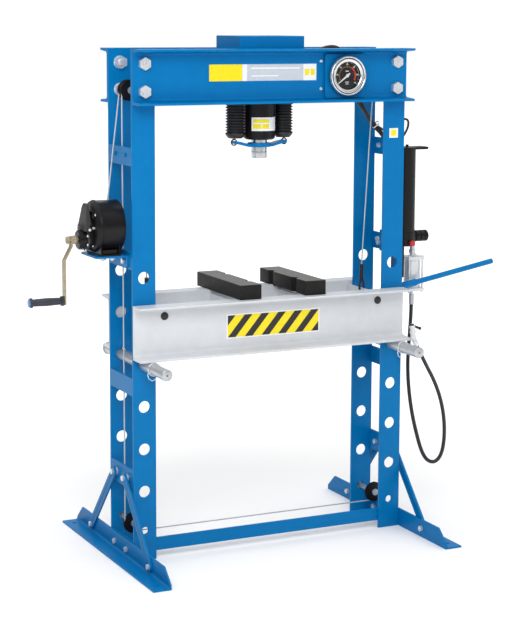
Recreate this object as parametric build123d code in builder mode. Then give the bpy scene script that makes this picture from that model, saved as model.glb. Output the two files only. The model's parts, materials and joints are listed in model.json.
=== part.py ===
from build123d import *
from math import atan2, cos, degrees, hypot, pi, radians, sin
import os

# A two-column workshop press with a hydraulic head, a bed raised by a hand winch and a foot pump group.
# Frame: millimetres, X to the right, Y to the back, Z up.
# The origin is on the floor, under the ram's axis and midway between the four anchor holes.

# Frame
HEIGHT = 1890  # columns and top beams
COLUMN_X = 520  # ram axis to the middle of a column
POST_WIDTH = 90
POST_THICK = 10
POST_Y = 110  # inner faces of the front and back posts
OUTER_X = COLUMN_X + POST_WIDTH / 2
POST_FACE_Y = POST_Y + POST_THICK
PIN_HOLE_R = 22.5
PIN_PITCH = 160
TOP_PIN_Z = 1062
PIN_ROWS = 6
LOW_HOLE_Z = 113
LOW_HOLE_R = 14

# Rolled channels, 200 x 75, with tapered flanges
CHANNEL_H = 200
CHANNEL_W = 75
WEB_THICK = 8.5
FLANGE_ROOT = 13.8
FLANGE_TIP = 8.5
ROOT_R = 11
TOE_R = 6

# Plates and feet
PLATE_THICK = 8
SPACER_H = 66
SPACER_Z = (657, 1125, 1503)  # middles of the spacer plates
BRACE_PLATE_Z = (265, 345)
BASE_PLATE_Z = (5, 71)
FOOT_LEG = 70
FOOT_THICK = 7
FOOT_HALF = 480
FOOT_TOP_HALF = 420
ANCHOR_X = 602
ANCHOR_Y = 430
ANCHOR_R = 8
BRACE_WIDTH = 38
BRACE_THICK = 8
BRACE_TOP = (55, 305)  # Y and Z of the bolts
BRACE_FOOT = (300, 35)
BASE_BOLT = (60, 32)
BRACKET_BOLT_Y = 50
BRACKET_BOLT_Z = 1119
TIE_Z = (29, 79)

# Fasteners: across flats, head height, shank radius
BEAM_BOLT = (41, 17, 13.5)
BEAM_BOLT_Z = (HEIGHT - 152, HEIGHT - 52)
BEAM_NUT_H = 22
PLATE_BOLT = (19, 8, 6)
PLATE_NUT_H = 10

# Hydraulic head
RAM_R = 30
RAM_TIP_Z = 1476
RAM_GROOVE_Z = 1501
STROKE = 145
BARREL_R = 60
BORE_R = 50
BARREL_Z = (1547, 1763)
GLAND_H = 28
PISTON_H = 22
RUNNING_GAP = 0.05
HEAD_PLATE_H = 22
HEAD_BOX_X = 133
HEAD_BOX_Y = (-113, 105)
HEAD_BOX_TOP = 1936
COVER_H = 22
SHEET = 4
YOKE_Z = 1519
YOKE_THICK = 11
SPRING_X = 100
BELLOWS_R = (31, 38)
BELLOWS_Z = (1553, 1690)
CUFF_Z = 1572
FOLDS = 8

# Pressure gauge
GAUGE_X = 291
GAUGE_Z = 1788
GAUGE_R = 75
GAUGE_STAND = 7
GAUGE_PLATE = (169, 164, 4.5)
GAUGE_DEPTH = 32.5

# Bed
BED_TOP = 961.5
BED_WEB_Y = 121
PIN_R = 21
PIN_Z = BED_TOP - CHANNEL_H - PIN_R
PIN_Y = (-337, 262)
CLIP_Y = (-215, 246)
BLOCK_TOP = 1017
BLOCK_Y = (-162, 240)
LEFT_BLOCK_X = (-152, -65)
RIGHT_BLOCK_X = (121, 206)
NOTCHES = ((-60, 43), (142, 43))  # middle along Y and width of the V notches
GUIDE_X = 455  # outer face of the plates that run between the columns

# Ropes and pulleys
ROPE_R = 2.5
ROPE_RUN_R = 33  # pulley axis to the rope's middle
PULLEY_R = 39
PULLEY_W = 13
AXLE_R = 8
LIFT_Y = 30.5
LEVEL_Y = 8
RIGHT_LIFT = (465, 12)  # X and Y of the pulley at the top right
TOP_PULLEY_Z = BEAM_BOLT_Z[0]
LEFT_ANCHOR = (-462, 0)
RIGHT_ANCHOR = (450, 0)
SLEEVE_Z = (985, 1044)
LEVEL_ARM_Z = 800
ARM_WIDTH = 20

# Winch
DRUM_Z = 1243
DRUM_X = (-657, -601)
DRUM_R = LIFT_Y - ROPE_R
CRANK_Z = 1200
GEAR_MODULE = 2
DRUM_TEETH = 32
PINION_TEETH = 11
GEAR_X = (-694, -682)
SHELF_Z = 1143
COVER_R = 97
COVER_X = (-678, -586)
COVER_BEVEL = 14
HOUSING_X = (-732, -678)
HUB_X = -760
CRANK_ARM = 222
CRANK_CRANKED = 27
GRIP_R = 15
GRIP_LENGTH = 130

# Pump
TANK_X = 641
TANK_R = 42
TANK_Z = (1162, 1490)
HEAD_Z = (1108, 1162)
AIR_X = 680
AIR_R = 38
AIR_Z = (925, 1063)
HAND_PUMP = (612, -20)
LEVER_PIVOT = (588, 955)
LEVER_Y = -70
LEVER_R = 10.5
LEVER_WALL = 2
LEVER_START = 12
LEVER_TILT = 10.4
LEVER_END_X = 1012
KNOB = (645, 1122)

# Hoses, each route a list of points picked by hand
HOSE_R = 9
GAUGE_LINE_R = 4.5
AIR_HOSE_R = 7.5


def keep(piece, label):
    """Labels a finished sub-part and writes it."""
    piece.part.label = label
    export_step(piece.part, f"parts/{label}.step")


def hex_bolt(size, grip, nut_h):
    """A bolt along Z: the head stands on the plane, the shank goes down through the grip to its nut."""
    flats, head, shank = size
    with BuildPart() as bolt:
        with BuildSketch():
            RegularPolygon(radius=flats / 2, side_count=6, major_radius=False)
        extrude(amount=head)
        with BuildSketch():
            Circle(shank)
        extrude(amount=-(grip + nut_h + 3))
        with BuildSketch(Plane.XY.offset(-grip)):
            RegularPolygon(radius=flats / 2, side_count=6, major_radius=False)
        extrude(amount=-nut_h)
    return bolt.part


def facing(x, y, z, direction):
    """A plane at a point whose normal runs along a direction."""
    return Plane(origin=(x, y, z), z_dir=direction)


def channel(side, web_y, top, holes=()):
    """A rolled channel over the full width, its web at web_y and its flanges pointing away from the middle.

    Each hole is its middle along X and Z and its radius, and goes through the web.
    """
    low = top - CHANNEL_H
    face = web_y + WEB_THICK
    tip = web_y + CHANNEL_W
    outline = [
        (web_y, low),
        (tip, low),
        (tip, low + FLANGE_TIP),
        (face, low + FLANGE_ROOT),
        (face, top - FLANGE_ROOT),
        (tip, top - FLANGE_TIP),
        (tip, top),
        (web_y, top),
    ]
    with BuildPart() as beam:
        with BuildSketch(Plane.YZ.offset(-OUTER_X)) as section:
            with BuildLine():
                Polyline(*[(side * y, z) for y, z in outline], close=True)
            make_face()
            fillet(section.vertices().filter_by(lambda v: abs(abs(v.X) - face) < 0.01), ROOT_R)
            toes = section.vertices().filter_by(lambda v: abs(abs(v.X) - tip) < 0.01)
            fillet(toes.sort_by(Axis.Y)[1:3], TOE_R)
        extrude(amount=2 * OUTER_X)
        if holes:
            with BuildSketch(Plane.XZ.offset(-side * web_y)):
                for x, z, r in holes:
                    with Locations((x, z)):
                        Circle(r)
            extrude(amount=-side * WEB_THICK, mode=Mode.SUBTRACT)
    return beam


def route_radii(points):
    """The arc at each corner of a route: 0.45 of the shorter run over the tangent of half the turn."""
    radii = []
    for a, b, c in zip(points, points[1:], points[2:]):
        before = Vector(*b) - Vector(*a)
        after = Vector(*c) - Vector(*b)
        turn = radians(before.get_angle(after))
        radii.append(0.45 * min(before.length, after.length) / (sin(turn / 2) / cos(turn / 2)))
    return radii


def hose(points, radius, name, radii=None):
    """Sweeps a round section along a hose's or a rope's route, and prints the route's length."""
    radii = radii or route_radii(points)
    with BuildPart() as tube:
        with BuildLine():
            path = FilletPolyline(*points, radius=radii)
        with BuildSketch(path ^ 0):
            Circle(radius)
        sweep()
    share = tube.part.volume / (pi * radius**2 * path.length)
    print(name, "length", round(path.length), "radii", [round(r) for r in radii], "share", round(share, 4))
    return tube.part


os.makedirs("parts", exist_ok=True)
pin_holes_z = [TOP_PIN_Z - PIN_PITCH * row for row in range(PIN_ROWS)]

# Columns: two flat bars each, drilled alike, front and back
sides = (-1, 1)
with BuildPart() as column_posts:
    with BuildSketch(Plane.XZ.offset(POST_Y)):
        for side in sides:
            x = side * COLUMN_X
            with Locations((x, HEIGHT / 2)):
                Rectangle(POST_WIDTH, HEIGHT)
            with Locations(*[(x, z) for z in pin_holes_z]):
                Circle(PIN_HOLE_R, mode=Mode.SUBTRACT)
            with Locations(*[(x, z) for z in BEAM_BOLT_Z]):
                Circle(BEAM_BOLT[2], mode=Mode.SUBTRACT)
            with Locations((x, LOW_HOLE_Z)):
                Circle(LOW_HOLE_R, mode=Mode.SUBTRACT)
    extrude(amount=POST_THICK)
    mirror(about=Plane.XZ)
keep(column_posts, "column_posts")

# Plates welded between the posts, flush with the column's outer edge, and the tie bar behind the front posts
plate_rows = [(z - SPACER_H / 2, z + SPACER_H / 2) for z in SPACER_Z] + [BRACE_PLATE_Z, BASE_PLATE_Z]
bolt_places = ((BRACKET_BOLT_Y, BRACKET_BOLT_Z), BRACE_TOP, BASE_BOLT)
plate_bolts = [(end * y, z) for y, z in bolt_places for end in sides]
with BuildPart() as cross_plates:
    with BuildSketch(Plane.YZ.offset(OUTER_X)):
        for low, high in plate_rows:
            with Locations((0, (low + high) / 2)):
                Rectangle(2 * POST_Y, high - low)
        with Locations(*plate_bolts):
            Circle(PLATE_BOLT[2], mode=Mode.SUBTRACT)
    extrude(amount=-PLATE_THICK)
    mirror(about=Plane.YZ)
    with BuildSketch(Plane.XZ.offset(POST_Y)):
        with Locations((0, sum(TIE_Z) / 2)):
            Rectangle(2 * (OUTER_X - PLATE_THICK - 2), TIE_Z[1] - TIE_Z[0])
    extrude(amount=-PLATE_THICK)
keep(cross_plates, "cross_plates")

# Top beams: two channels bolted outside the posts
beam_holes = [(s * COLUMN_X, z, BEAM_BOLT[2]) for s in sides for z in BEAM_BOLT_Z]
keep(channel(-1, POST_FACE_Y, HEIGHT, beam_holes + [(GAUGE_X, GAUGE_Z, 12)]), "front_beam")
keep(channel(1, POST_FACE_Y, HEIGHT, beam_holes + [(RIGHT_LIFT[0], TOP_PULLEY_Z, AXLE_R)]), "back_beam")

# Feet: an angle on each side, its upright leg bevelled at both ends
upright = OUTER_X + FOOT_THICK
edge = OUTER_X + FOOT_LEG
bevel_z = FOOT_THICK + ROOT_R
with BuildPart() as feet:
    with BuildSketch(Plane.XZ.offset(-FOOT_HALF)) as section:
        with BuildLine():
            Polyline((OUTER_X, 0), (edge, 0), (edge, FOOT_THICK), (upright, FOOT_THICK),
                     (upright, FOOT_LEG), (OUTER_X, FOOT_LEG), close=True)
        make_face()
        corner = section.vertices().filter_by(lambda v: abs(v.X - upright) < 0.01).sort_by(Axis.Y)[0]
        fillet(corner, FOOT_THICK + 1)
    extrude(amount=2 * FOOT_HALF)
    with BuildSketch(Plane.YZ.offset(OUTER_X - 1)):
        for end in sides:
            with BuildLine():
                Polyline((end * FOOT_TOP_HALF, FOOT_LEG + 1), (end * (FOOT_HALF + 1), FOOT_LEG + 1),
                         (end * (FOOT_HALF + 1), bevel_z), close=True)
            make_face()
    extrude(amount=2 * FOOT_THICK, mode=Mode.SUBTRACT)
    with BuildSketch():
        with Locations((ANCHOR_X, -ANCHOR_Y), (ANCHOR_X, ANCHOR_Y)):
            Circle(ANCHOR_R)
    extrude(amount=FOOT_THICK, mode=Mode.SUBTRACT)
    with BuildSketch(Plane.YZ.offset(OUTER_X)):
        with Locations(*[(end * y, z) for y, z in (BASE_BOLT, BRACE_FOOT) for end in sides]):
            Circle(PLATE_BOLT[2])
    extrude(amount=FOOT_THICK, mode=Mode.SUBTRACT)
    mirror(about=Plane.YZ)
keep(feet, "feet")

# Braces: four flat bars from the columns to the feet
brace_run = (BRACE_FOOT[0] - BRACE_TOP[0], BRACE_FOOT[1] - BRACE_TOP[1])
brace_length = hypot(*brace_run)
brace_angle = degrees(atan2(brace_run[1], brace_run[0]))
brace_middle = ((BRACE_FOOT[0] + BRACE_TOP[0]) / 2, (BRACE_FOOT[1] + BRACE_TOP[1]) / 2)
with BuildPart() as foot_braces:
    with BuildSketch(Plane.YZ.offset(OUTER_X + FOOT_THICK)):
        with Locations(Location(brace_middle, brace_angle)):
            SlotCenterToCenter(brace_length, BRACE_WIDTH)
        with Locations(BRACE_TOP, BRACE_FOOT):
            Circle(PLATE_BOLT[2], mode=Mode.SUBTRACT)
    extrude(amount=BRACE_THICK)
    mirror(about=Plane.XZ)
    mirror(about=Plane.YZ)
keep(foot_braces, "foot_braces")

# Bolts with their nuts: the beams' large ones, and the small ones of plates, feet and braces
beam_bolt = hex_bolt(BEAM_BOLT, WEB_THICK + POST_THICK, BEAM_NUT_H)
with BuildPart() as beam_bolts:
    for end in sides:
        for z in BEAM_BOLT_Z:
            for y in sides:
                with Locations(facing(end * COLUMN_X, y * (POST_FACE_Y + WEB_THICK), z, (0, y, 0))):
                    add(beam_bolt)
keep(beam_bolts, "beam_bolts")

brace_bolt = hex_bolt(PLATE_BOLT, PLATE_THICK + FOOT_THICK + BRACE_THICK, PLATE_NUT_H)
brace_foot_bolt = hex_bolt(PLATE_BOLT, FOOT_THICK + BRACE_THICK, PLATE_NUT_H)
base_bolt = hex_bolt(PLATE_BOLT, PLATE_THICK + FOOT_THICK, PLATE_NUT_H)
with BuildPart() as frame_bolts:
    for x in sides:
        for y in sides:
            outward = (x, 0, 0)
            over_brace = x * (OUTER_X + FOOT_THICK + BRACE_THICK)
            over_foot = x * (OUTER_X + FOOT_THICK)
            with Locations(facing(over_brace, y * BRACE_TOP[0], BRACE_TOP[1], outward)):
                add(brace_bolt)
            with Locations(facing(over_brace, y * BRACE_FOOT[0], BRACE_FOOT[1], outward)):
                add(brace_foot_bolt)
            with Locations(facing(over_foot, y * BASE_BOLT[0], BASE_BOLT[1], outward)):
                add(base_bolt)
            with Locations(facing(over_foot, y * BRACKET_BOLT_Y, BRACKET_BOLT_Z, outward)):
                add(base_bolt)
            # A packing ring fills the foot's thickness behind the top of each brace.
            with BuildSketch(Plane.YZ.offset(x * OUTER_X)):
                with Locations((y * BRACE_TOP[0], BRACE_TOP[1])):
                    Circle(BRACE_WIDTH / 2 - 3)
            extrude(amount=x * FOOT_THICK)
keep(frame_bolts, "frame_bolts")

# Head: a plate between the webs, a sheet box over it and its cover
with BuildPart() as head_plate:
    with BuildSketch(Plane.XY.offset(HEIGHT - CHANNEL_H)):
        Rectangle(2 * HEAD_BOX_X, 2 * POST_FACE_Y)
        Circle(BARREL_R, mode=Mode.SUBTRACT)
    extrude(amount=HEAD_PLATE_H)
keep(head_plate, "head_plate")

box_low = HEIGHT - CHANNEL_H + HEAD_PLATE_H
box_high = HEAD_BOX_TOP - COVER_H
box_mid_y = sum(HEAD_BOX_Y) / 2
box_depth = HEAD_BOX_Y[1] - HEAD_BOX_Y[0]
rope_z = TOP_PULLEY_Z + ROPE_RUN_R
rope_slot = 16
hose_port = (HEAD_BOX_X, 0, 1856)
with BuildPart() as head_box:
    with BuildSketch(Plane.XY.offset(box_low)):
        with Locations((0, box_mid_y)):
            RectangleRounded(2 * HEAD_BOX_X, box_depth, SHEET + 2)
            RectangleRounded(2 * (HEAD_BOX_X - SHEET), box_depth - 2 * SHEET, 2, mode=Mode.SUBTRACT)
    extrude(amount=box_high - box_low)
    with BuildSketch(Plane.YZ):
        with Locations(((LIFT_Y + RIGHT_LIFT[1]) / 2, rope_z)):
            RectangleRounded(3 * rope_slot, rope_slot, rope_slot / 2 - 1)
    extrude(amount=HEAD_BOX_X + 1, both=True, mode=Mode.SUBTRACT)
    with BuildSketch(Plane.YZ.offset(HEAD_BOX_X - 2 * SHEET)):
        with Locations((hose_port[1], hose_port[2])):
            Circle(HOSE_R + 3)
    extrude(amount=3 * SHEET, mode=Mode.SUBTRACT)
keep(head_box, "head_box")

with BuildPart() as head_cover:
    with BuildSketch(Plane.XY.offset(box_high)):
        with Locations((0, box_mid_y)):
            RectangleRounded(2 * HEAD_BOX_X, box_depth, SHEET + 2)
    extrude(amount=COVER_H)
    fillet(head_cover.faces().sort_by(Axis.Z)[-1].edges(), 2.5)
    offset(amount=-SHEET, openings=head_cover.faces().sort_by(Axis.Z)[0])
keep(head_cover, "head_cover")

# Cylinder: barrel with its closed top, gland nut, piston and ram
bottom, top = BARREL_Z
gland_z = bottom + GLAND_H
piston_z = gland_z + STROKE + 5
with BuildPart() as cylinder_barrel:
    with BuildSketch(Plane.XZ):
        with BuildLine():
            Polyline((BORE_R, bottom + 18), (BARREL_R, bottom + 18), (BARREL_R, box_low),
                     (BARREL_R + 12, box_low), (BARREL_R + 12, box_low + 12), (BARREL_R, box_low + 12),
                     (BARREL_R, top - 3), (BARREL_R - 3, top), (0, top), (0, top - 14),
                     (BORE_R, top - 14), close=True)
        make_face()
    revolve(axis=Axis.Z)
keep(cylinder_barrel, "cylinder_barrel")

with BuildPart() as gland_nut:
    with BuildSketch(Plane.XZ):
        with BuildLine():
            Polyline((RAM_R + RUNNING_GAP, bottom), (BARREL_R - 7, bottom), (BARREL_R, bottom + 6),
                     (BARREL_R, bottom + 18), (BORE_R, bottom + 18), (BORE_R, gland_z),
                     (RAM_R + RUNNING_GAP, gland_z), close=True)
        make_face()
    revolve(axis=Axis.Z)
keep(gland_nut, "gland_nut")

spigot_r = 20
with BuildPart() as ram:
    with BuildSketch(Plane.XZ):
        with BuildLine():
            Polyline((0, RAM_TIP_Z), (RAM_R - 2, RAM_TIP_Z), (RAM_R, RAM_TIP_Z + 2),
                     (RAM_R, RAM_GROOVE_Z - 1), (RAM_R - 1.5, RAM_GROOVE_Z - 1),
                     (RAM_R - 1.5, RAM_GROOVE_Z + 1), (RAM_R, RAM_GROOVE_Z + 1), (RAM_R, piston_z),
                     (spigot_r, piston_z), (spigot_r, piston_z + PISTON_H),
                     (0, piston_z + PISTON_H), close=True)
        make_face()
    revolve(axis=Axis.Z)
keep(ram, "ram")

with BuildPart() as piston:
    with BuildSketch(Plane.XZ):
        with BuildLine():
            Polyline((spigot_r, piston_z), (BORE_R - 1, piston_z), (BORE_R - RUNNING_GAP, piston_z + 1),
                     (BORE_R - RUNNING_GAP, piston_z + 7), (BORE_R - 4, piston_z + 7),
                     (BORE_R - 4, piston_z + 13), (BORE_R - RUNNING_GAP, piston_z + 13),
                     (BORE_R - RUNNING_GAP, piston_z + PISTON_H), (spigot_r, piston_z + PISTON_H), close=True)
        make_face()
    revolve(axis=Axis.Z)
keep(piston, "piston")

# Yoke: a bar clamped round the ram, its ends turned up to the springs' hooks
yoke_rise = 13
hook_x = SPRING_X - 6
yoke_end = SPRING_X + 8
with BuildPart() as yoke:
    with BuildSketch(Plane.XZ.offset(-20)):
        with BuildLine():
            Polyline((-48, 0), (48, 0), (84, yoke_rise * 0.75), (yoke_end, yoke_rise),
                     (yoke_end, yoke_rise + YOKE_THICK), (84, yoke_rise * 0.75 + YOKE_THICK),
                     (48, YOKE_THICK), (-48, YOKE_THICK), (-84, yoke_rise * 0.75 + YOKE_THICK),
                     (-yoke_end, yoke_rise + YOKE_THICK), (-yoke_end, yoke_rise),
                     (-84, yoke_rise * 0.75), close=True)
        make_face()
    extrude(amount=40)
    with BuildSketch(Plane.XY):
        Circle(RAM_R + 15)
    extrude(amount=YOKE_THICK + 4)
    with BuildSketch(Plane.XY.offset(-1)):
        Circle(RAM_R)
        with Locations((-hook_x, 0), (hook_x, 0)):
            Circle(6)
    extrude(amount=60, mode=Mode.SUBTRACT)
yoke.part.move(Location((0, 0, YOKE_Z)))
keep(yoke, "yoke")

# Spring hooks: a ring through each end of the yoke with its eye wire going up to the spring
ring_r = 11
ring_z = YOKE_Z + yoke_rise + YOKE_THICK / 2
spring_z = (CUFF_Z + 4, BELLOWS_Z[1] - 8)
with BuildPart() as spring_hooks:
    for side in sides:
        with Locations(Location((side * (hook_x + ring_r), 0, ring_z), (90, 0, 0))):
            Torus(ring_r, 2.5)
        with BuildSketch(Plane.XY.offset(ring_z + ring_r)):
            with Locations((side * (hook_x + ring_r), 0)):
                Circle(2.5)
        extrude(amount=CUFF_Z - ring_z - ring_r)
keep(spring_hooks, "spring_hooks")

with BuildPart() as return_springs:
    with BuildSketch(Plane.XY.offset(spring_z[0])):
        with Locations((-SPRING_X, 0), (SPRING_X, 0)):
            Circle(18)
            Circle(12, mode=Mode.SUBTRACT)
    extrude(amount=spring_z[1] - spring_z[0])
keep(return_springs, "return_springs")

# Bellows: folded rubber sleeves over the springs, each with a cuff that narrows to the hook
fold_pitch = (BELLOWS_Z[1] - CUFF_Z) / FOLDS
valley, peak = BELLOWS_R
folds = [(peak, BELLOWS_Z[1])]
for fold in range(FOLDS):
    folds.append((valley, BELLOWS_Z[1] - fold_pitch * (fold + 0.5)))
    folds.append((peak, BELLOWS_Z[1] - fold_pitch * (fold + 1)))
with BuildPart() as bellows:
    with BuildSketch(Plane.XZ):
        with BuildLine():
            Polyline(*[(SPRING_X + r, z) for r, z in folds], (SPRING_X + peak, CUFF_Z - 4),
                     (SPRING_X + 27, BELLOWS_Z[0]), (SPRING_X + 22, BELLOWS_Z[0]), (SPRING_X + 22, CUFF_Z),
                     (SPRING_X + valley - 3, CUFF_Z + 6), (SPRING_X + valley - 3, BELLOWS_Z[1]), close=True)
        make_face()
    revolve(axis=Axis((SPRING_X, 0, 0), (0, 0, 1)))
    mirror(about=Plane.YZ)
keep(bellows, "bellows")

# Pressure gauge on its plate: case, bezel, dial, glass and needle
gauge_face = -(POST_FACE_Y + WEB_THICK + GAUGE_STAND)
plate_face = gauge_face - GAUGE_PLATE[2]
with BuildPart() as gauge_plate:
    with BuildSketch(Plane.XZ.offset(-gauge_face)):
        with Locations((GAUGE_X, GAUGE_Z - 1)):
            RectangleRounded(GAUGE_PLATE[0], GAUGE_PLATE[1], 8)
        with Locations((GAUGE_X, GAUGE_Z)):
            Circle(12, mode=Mode.SUBTRACT)
    extrude(amount=GAUGE_PLATE[2])
    with BuildSketch(Plane.XZ.offset(-gauge_face)):
        with Locations((GAUGE_X, GAUGE_Z - 1)):
            with GridLocations(GAUGE_PLATE[0] - 26, GAUGE_PLATE[1] - 36, 2, 2):
                Circle(6)
    extrude(amount=-GAUGE_STAND)
keep(gauge_plate, "gauge_plate")

gauge_parts = {
    "gauge_case": [(0, 0), (GAUGE_R - 8, 0), (GAUGE_R - 4, 4), (GAUGE_R - 4, 23), (GAUGE_R - 7, 23),
                   (GAUGE_R - 7, 3), (0, 3)],
    "gauge_bezel": [(GAUGE_R - 10, 26), (GAUGE_R - 7, 23), (GAUGE_R - 4, 23), (GAUGE_R - 4, 17),
                    (GAUGE_R, 17), (GAUGE_R, 27), (GAUGE_R - 3, GAUGE_DEPTH - 1), (GAUGE_R - 6, GAUGE_DEPTH),
                    (GAUGE_R - 10, GAUGE_DEPTH - 2)],
    "gauge_dial": [(4.05, 15), (GAUGE_R - 7, 15), (GAUGE_R - 7, 16.5), (4.05, 16.5)],
    "gauge_glass": [(0, 23), (GAUGE_R - 7, 23), (GAUGE_R - 10, 26), (0, 26)],
}
gauge_section = Plane(origin=(GAUGE_X, plate_face, GAUGE_Z), x_dir=(1, 0, 0), z_dir=(0, 0, -1))
gauge_axis = Axis((GAUGE_X, plate_face, GAUGE_Z), (0, -1, 0))
for name, outline in gauge_parts.items():
    with BuildPart() as turned:
        with BuildSketch(gauge_section):
            with BuildLine():
                Polyline(*outline, close=True)
            make_face()
        revolve(axis=gauge_axis)
    keep(turned, name)

needle_angle = radians(218)  # from the right, turning left over the top
needle_length = 52
needle_plane = Plane(origin=(GAUGE_X, plate_face, GAUGE_Z), x_dir=(cos(needle_angle), 0, sin(needle_angle)),
                     z_dir=(0, -1, 0))
with BuildPart() as gauge_needle:
    with BuildSketch(needle_plane.offset(18)):
        with BuildLine():
            Polyline((-14, -3), (0, -4), (needle_length, -0.8), (needle_length, 0.8), (0, 4), (-14, 3),
                     close=True)
        make_face()
        Circle(6)
    extrude(amount=1.2)
    with BuildSketch(needle_plane.offset(5)):
        Circle(4)
    extrude(amount=16)
keep(gauge_needle, "gauge_needle")

# Bed: two channels outside the posts, joined by plates between them
bed_low = BED_TOP - CHANNEL_H
keep(channel(-1, BED_WEB_Y, BED_TOP), "bed_front_channel")
keep(channel(1, BED_WEB_Y, BED_TOP), "bed_back_channel")

plate_gap = 13
fork_low = BED_TOP - plate_gap - 30
with BuildPart() as bed_cross_plates:
    for x in (-GUIDE_X, -GUIDE_X / 3, GUIDE_X / 3, GUIDE_X):
        with BuildSketch(Plane.YZ.offset(x)):
            with Locations((0, (bed_low + BED_TOP) / 2)):
                Rectangle(2 * BED_WEB_Y, CHANNEL_H - 2 * plate_gap)
            with Locations((0, fork_low + 8)):
                Circle(5, mode=Mode.SUBTRACT)
        extrude(amount=-PLATE_THICK if x > 0 else PLATE_THICK)
keep(bed_cross_plates, "bed_cross_plates")

# Rope anchors: a sleeve on each rope and its fork, pinned through the guide plate
level_x = COLUMN_X + ROPE_RUN_R
arm_past = 3.5  # how far the arm goes past the rope, short of the spacer plates that it passes
with BuildPart() as rope_anchors:
    for x, y in (LEFT_ANCHOR, RIGHT_ANCHOR):
        side = 1 if x > 0 else -1
        plate_x = side * (GUIDE_X - PLATE_THICK / 2)
        with BuildSketch(Plane.XY.offset(SLEEVE_Z[0])):
            with Locations((x, y)):
                Circle(8)
        extrude(amount=SLEEVE_Z[1] - SLEEVE_Z[0])
        with BuildSketch(Plane.XZ.offset(-y - 4)):
            for edge in sides:
                foot_x = plate_x + edge * (PLATE_THICK / 2 + 5)
                with BuildLine():
                    Polyline((x, SLEEVE_Z[0] + 1), (x + edge * 6, SLEEVE_Z[0] + 1),
                             (foot_x + edge * 2.5, BED_TOP), (foot_x + edge * 2.5, fork_low),
                             (foot_x - edge * 2.5, fork_low), (foot_x - edge * 2.5, BED_TOP), close=True)
                make_face()
        extrude(amount=8)
        with BuildSketch(Plane.YZ.offset(plate_x - PLATE_THICK / 2 - 14)):
            with Locations((y, fork_low + 8)):
                Circle(5)
        extrude(amount=PLATE_THICK + 28)
    # An arm under the right end of the bed, which the levelling rope pulls on
    with BuildSketch(Plane.XZ.offset(-ARM_WIDTH / 2)):
        with BuildLine():
            Polyline((GUIDE_X, LEVEL_ARM_Z - 24), (level_x + arm_past, LEVEL_ARM_Z - 12),
                     (level_x + arm_past, LEVEL_ARM_Z), (GUIDE_X + 14, LEVEL_ARM_Z),
                     (GUIDE_X + 8, LEVEL_ARM_Z + 30), (GUIDE_X, LEVEL_ARM_Z + 30), close=True)
        make_face()
    extrude(amount=ARM_WIDTH)
    with BuildSketch(Plane.XY.offset(LEVEL_ARM_Z)):
        with Locations((level_x, 0)):
            Rectangle(2 * arm_past, 12)
    extrude(amount=10)
keep(rope_anchors, "rope_anchors")


def press_block(span, notch_side, name):
    """A press block with V notches down the side that faces the ram's axis."""
    low, high = span
    face = high if notch_side > 0 else low
    middle = ((low + high) / 2, sum(BLOCK_Y) / 2)
    with BuildPart() as block:
        with BuildSketch(Plane.XY.offset(BED_TOP)):
            with Locations(middle):
                Rectangle(high - low, BLOCK_Y[1] - BLOCK_Y[0])
        extrude(amount=BLOCK_TOP - BED_TOP)
        chamfer(block.edges().filter_by(Axis.Z, reverse=True).group_by(Axis.Z)[-1], 1.5)
        with BuildSketch(Plane.XY.offset(BED_TOP)):
            for y, width in NOTCHES:
                with BuildLine():
                    Polyline((face + notch_side, y - width / 2 - 1), (face - notch_side * width * 0.45, y),
                             (face + notch_side, y + width / 2 + 1), close=True)
                make_face()
        extrude(amount=BLOCK_TOP - BED_TOP, mode=Mode.SUBTRACT)
    keep(block, name)


press_block(LEFT_BLOCK_X, 1, "left_v_block")
press_block(RIGHT_BLOCK_X, -1, "right_v_block")

# Support pins under the bed with the wire clips that hold them
with BuildPart() as support_pins:
    with BuildSketch(Plane.XZ.offset(-PIN_Y[1])):
        with Locations((COLUMN_X, PIN_Z)):
            Circle(PIN_R)
    extrude(amount=PIN_Y[1] - PIN_Y[0])
    chamfer(support_pins.edges().filter_by(GeomType.CIRCLE), 2.5)
    with BuildSketch(Plane.XZ.offset(-PIN_Y[0])):
        with Locations((COLUMN_X, PIN_Z)):
            Circle(4)
    extrude(amount=-8, taper=20, mode=Mode.SUBTRACT)
    mirror(about=Plane.YZ)
keep(support_pins, "support_pins")

clip_wire = 2
with BuildPart() as pin_clips:
    for x in (-COLUMN_X, COLUMN_X):
        for y in CLIP_Y:
            with Locations(Location((x, y, PIN_Z), (90, 0, 0))):
                Torus(PIN_R + clip_wire + 0.2, clip_wire)
keep(pin_clips, "pin_clips")

# Pulleys
pulley_places = {
    "top_left_lift_pulley": (-COLUMN_X, LIFT_Y, TOP_PULLEY_Z),
    "top_left_level_pulley": (-COLUMN_X, LEVEL_Y, TOP_PULLEY_Z),
    "top_right_lift_pulley": (RIGHT_LIFT[0], RIGHT_LIFT[1], TOP_PULLEY_Z),
    "bottom_left_pulley": (-COLUMN_X, 0, LOW_HOLE_Z),
    "bottom_right_pulley": (COLUMN_X, 0, LOW_HOLE_Z),
}
groove_r = ROPE_RUN_R - ROPE_R - 0.4
bore_r = AXLE_R + RUNNING_GAP
rim = [(bore_r, -PULLEY_W / 2), (PULLEY_R, -PULLEY_W / 2), (PULLEY_R, -5), (groove_r + 4, -3.5),
       (groove_r, -3)]
for name, (x, y, z) in pulley_places.items():
    with BuildPart() as pulley:
        with BuildSketch(Plane(origin=(x, y, z), x_dir=(1, 0, 0), z_dir=(0, 0, -1))):
            with BuildLine():
                Polyline(*rim, *[(r, -across) for r, across in reversed(rim)], close=True)
            make_face()
        revolve(axis=Axis((x, y, z), (0, 1, 0)))
    keep(pulley, name)

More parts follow.
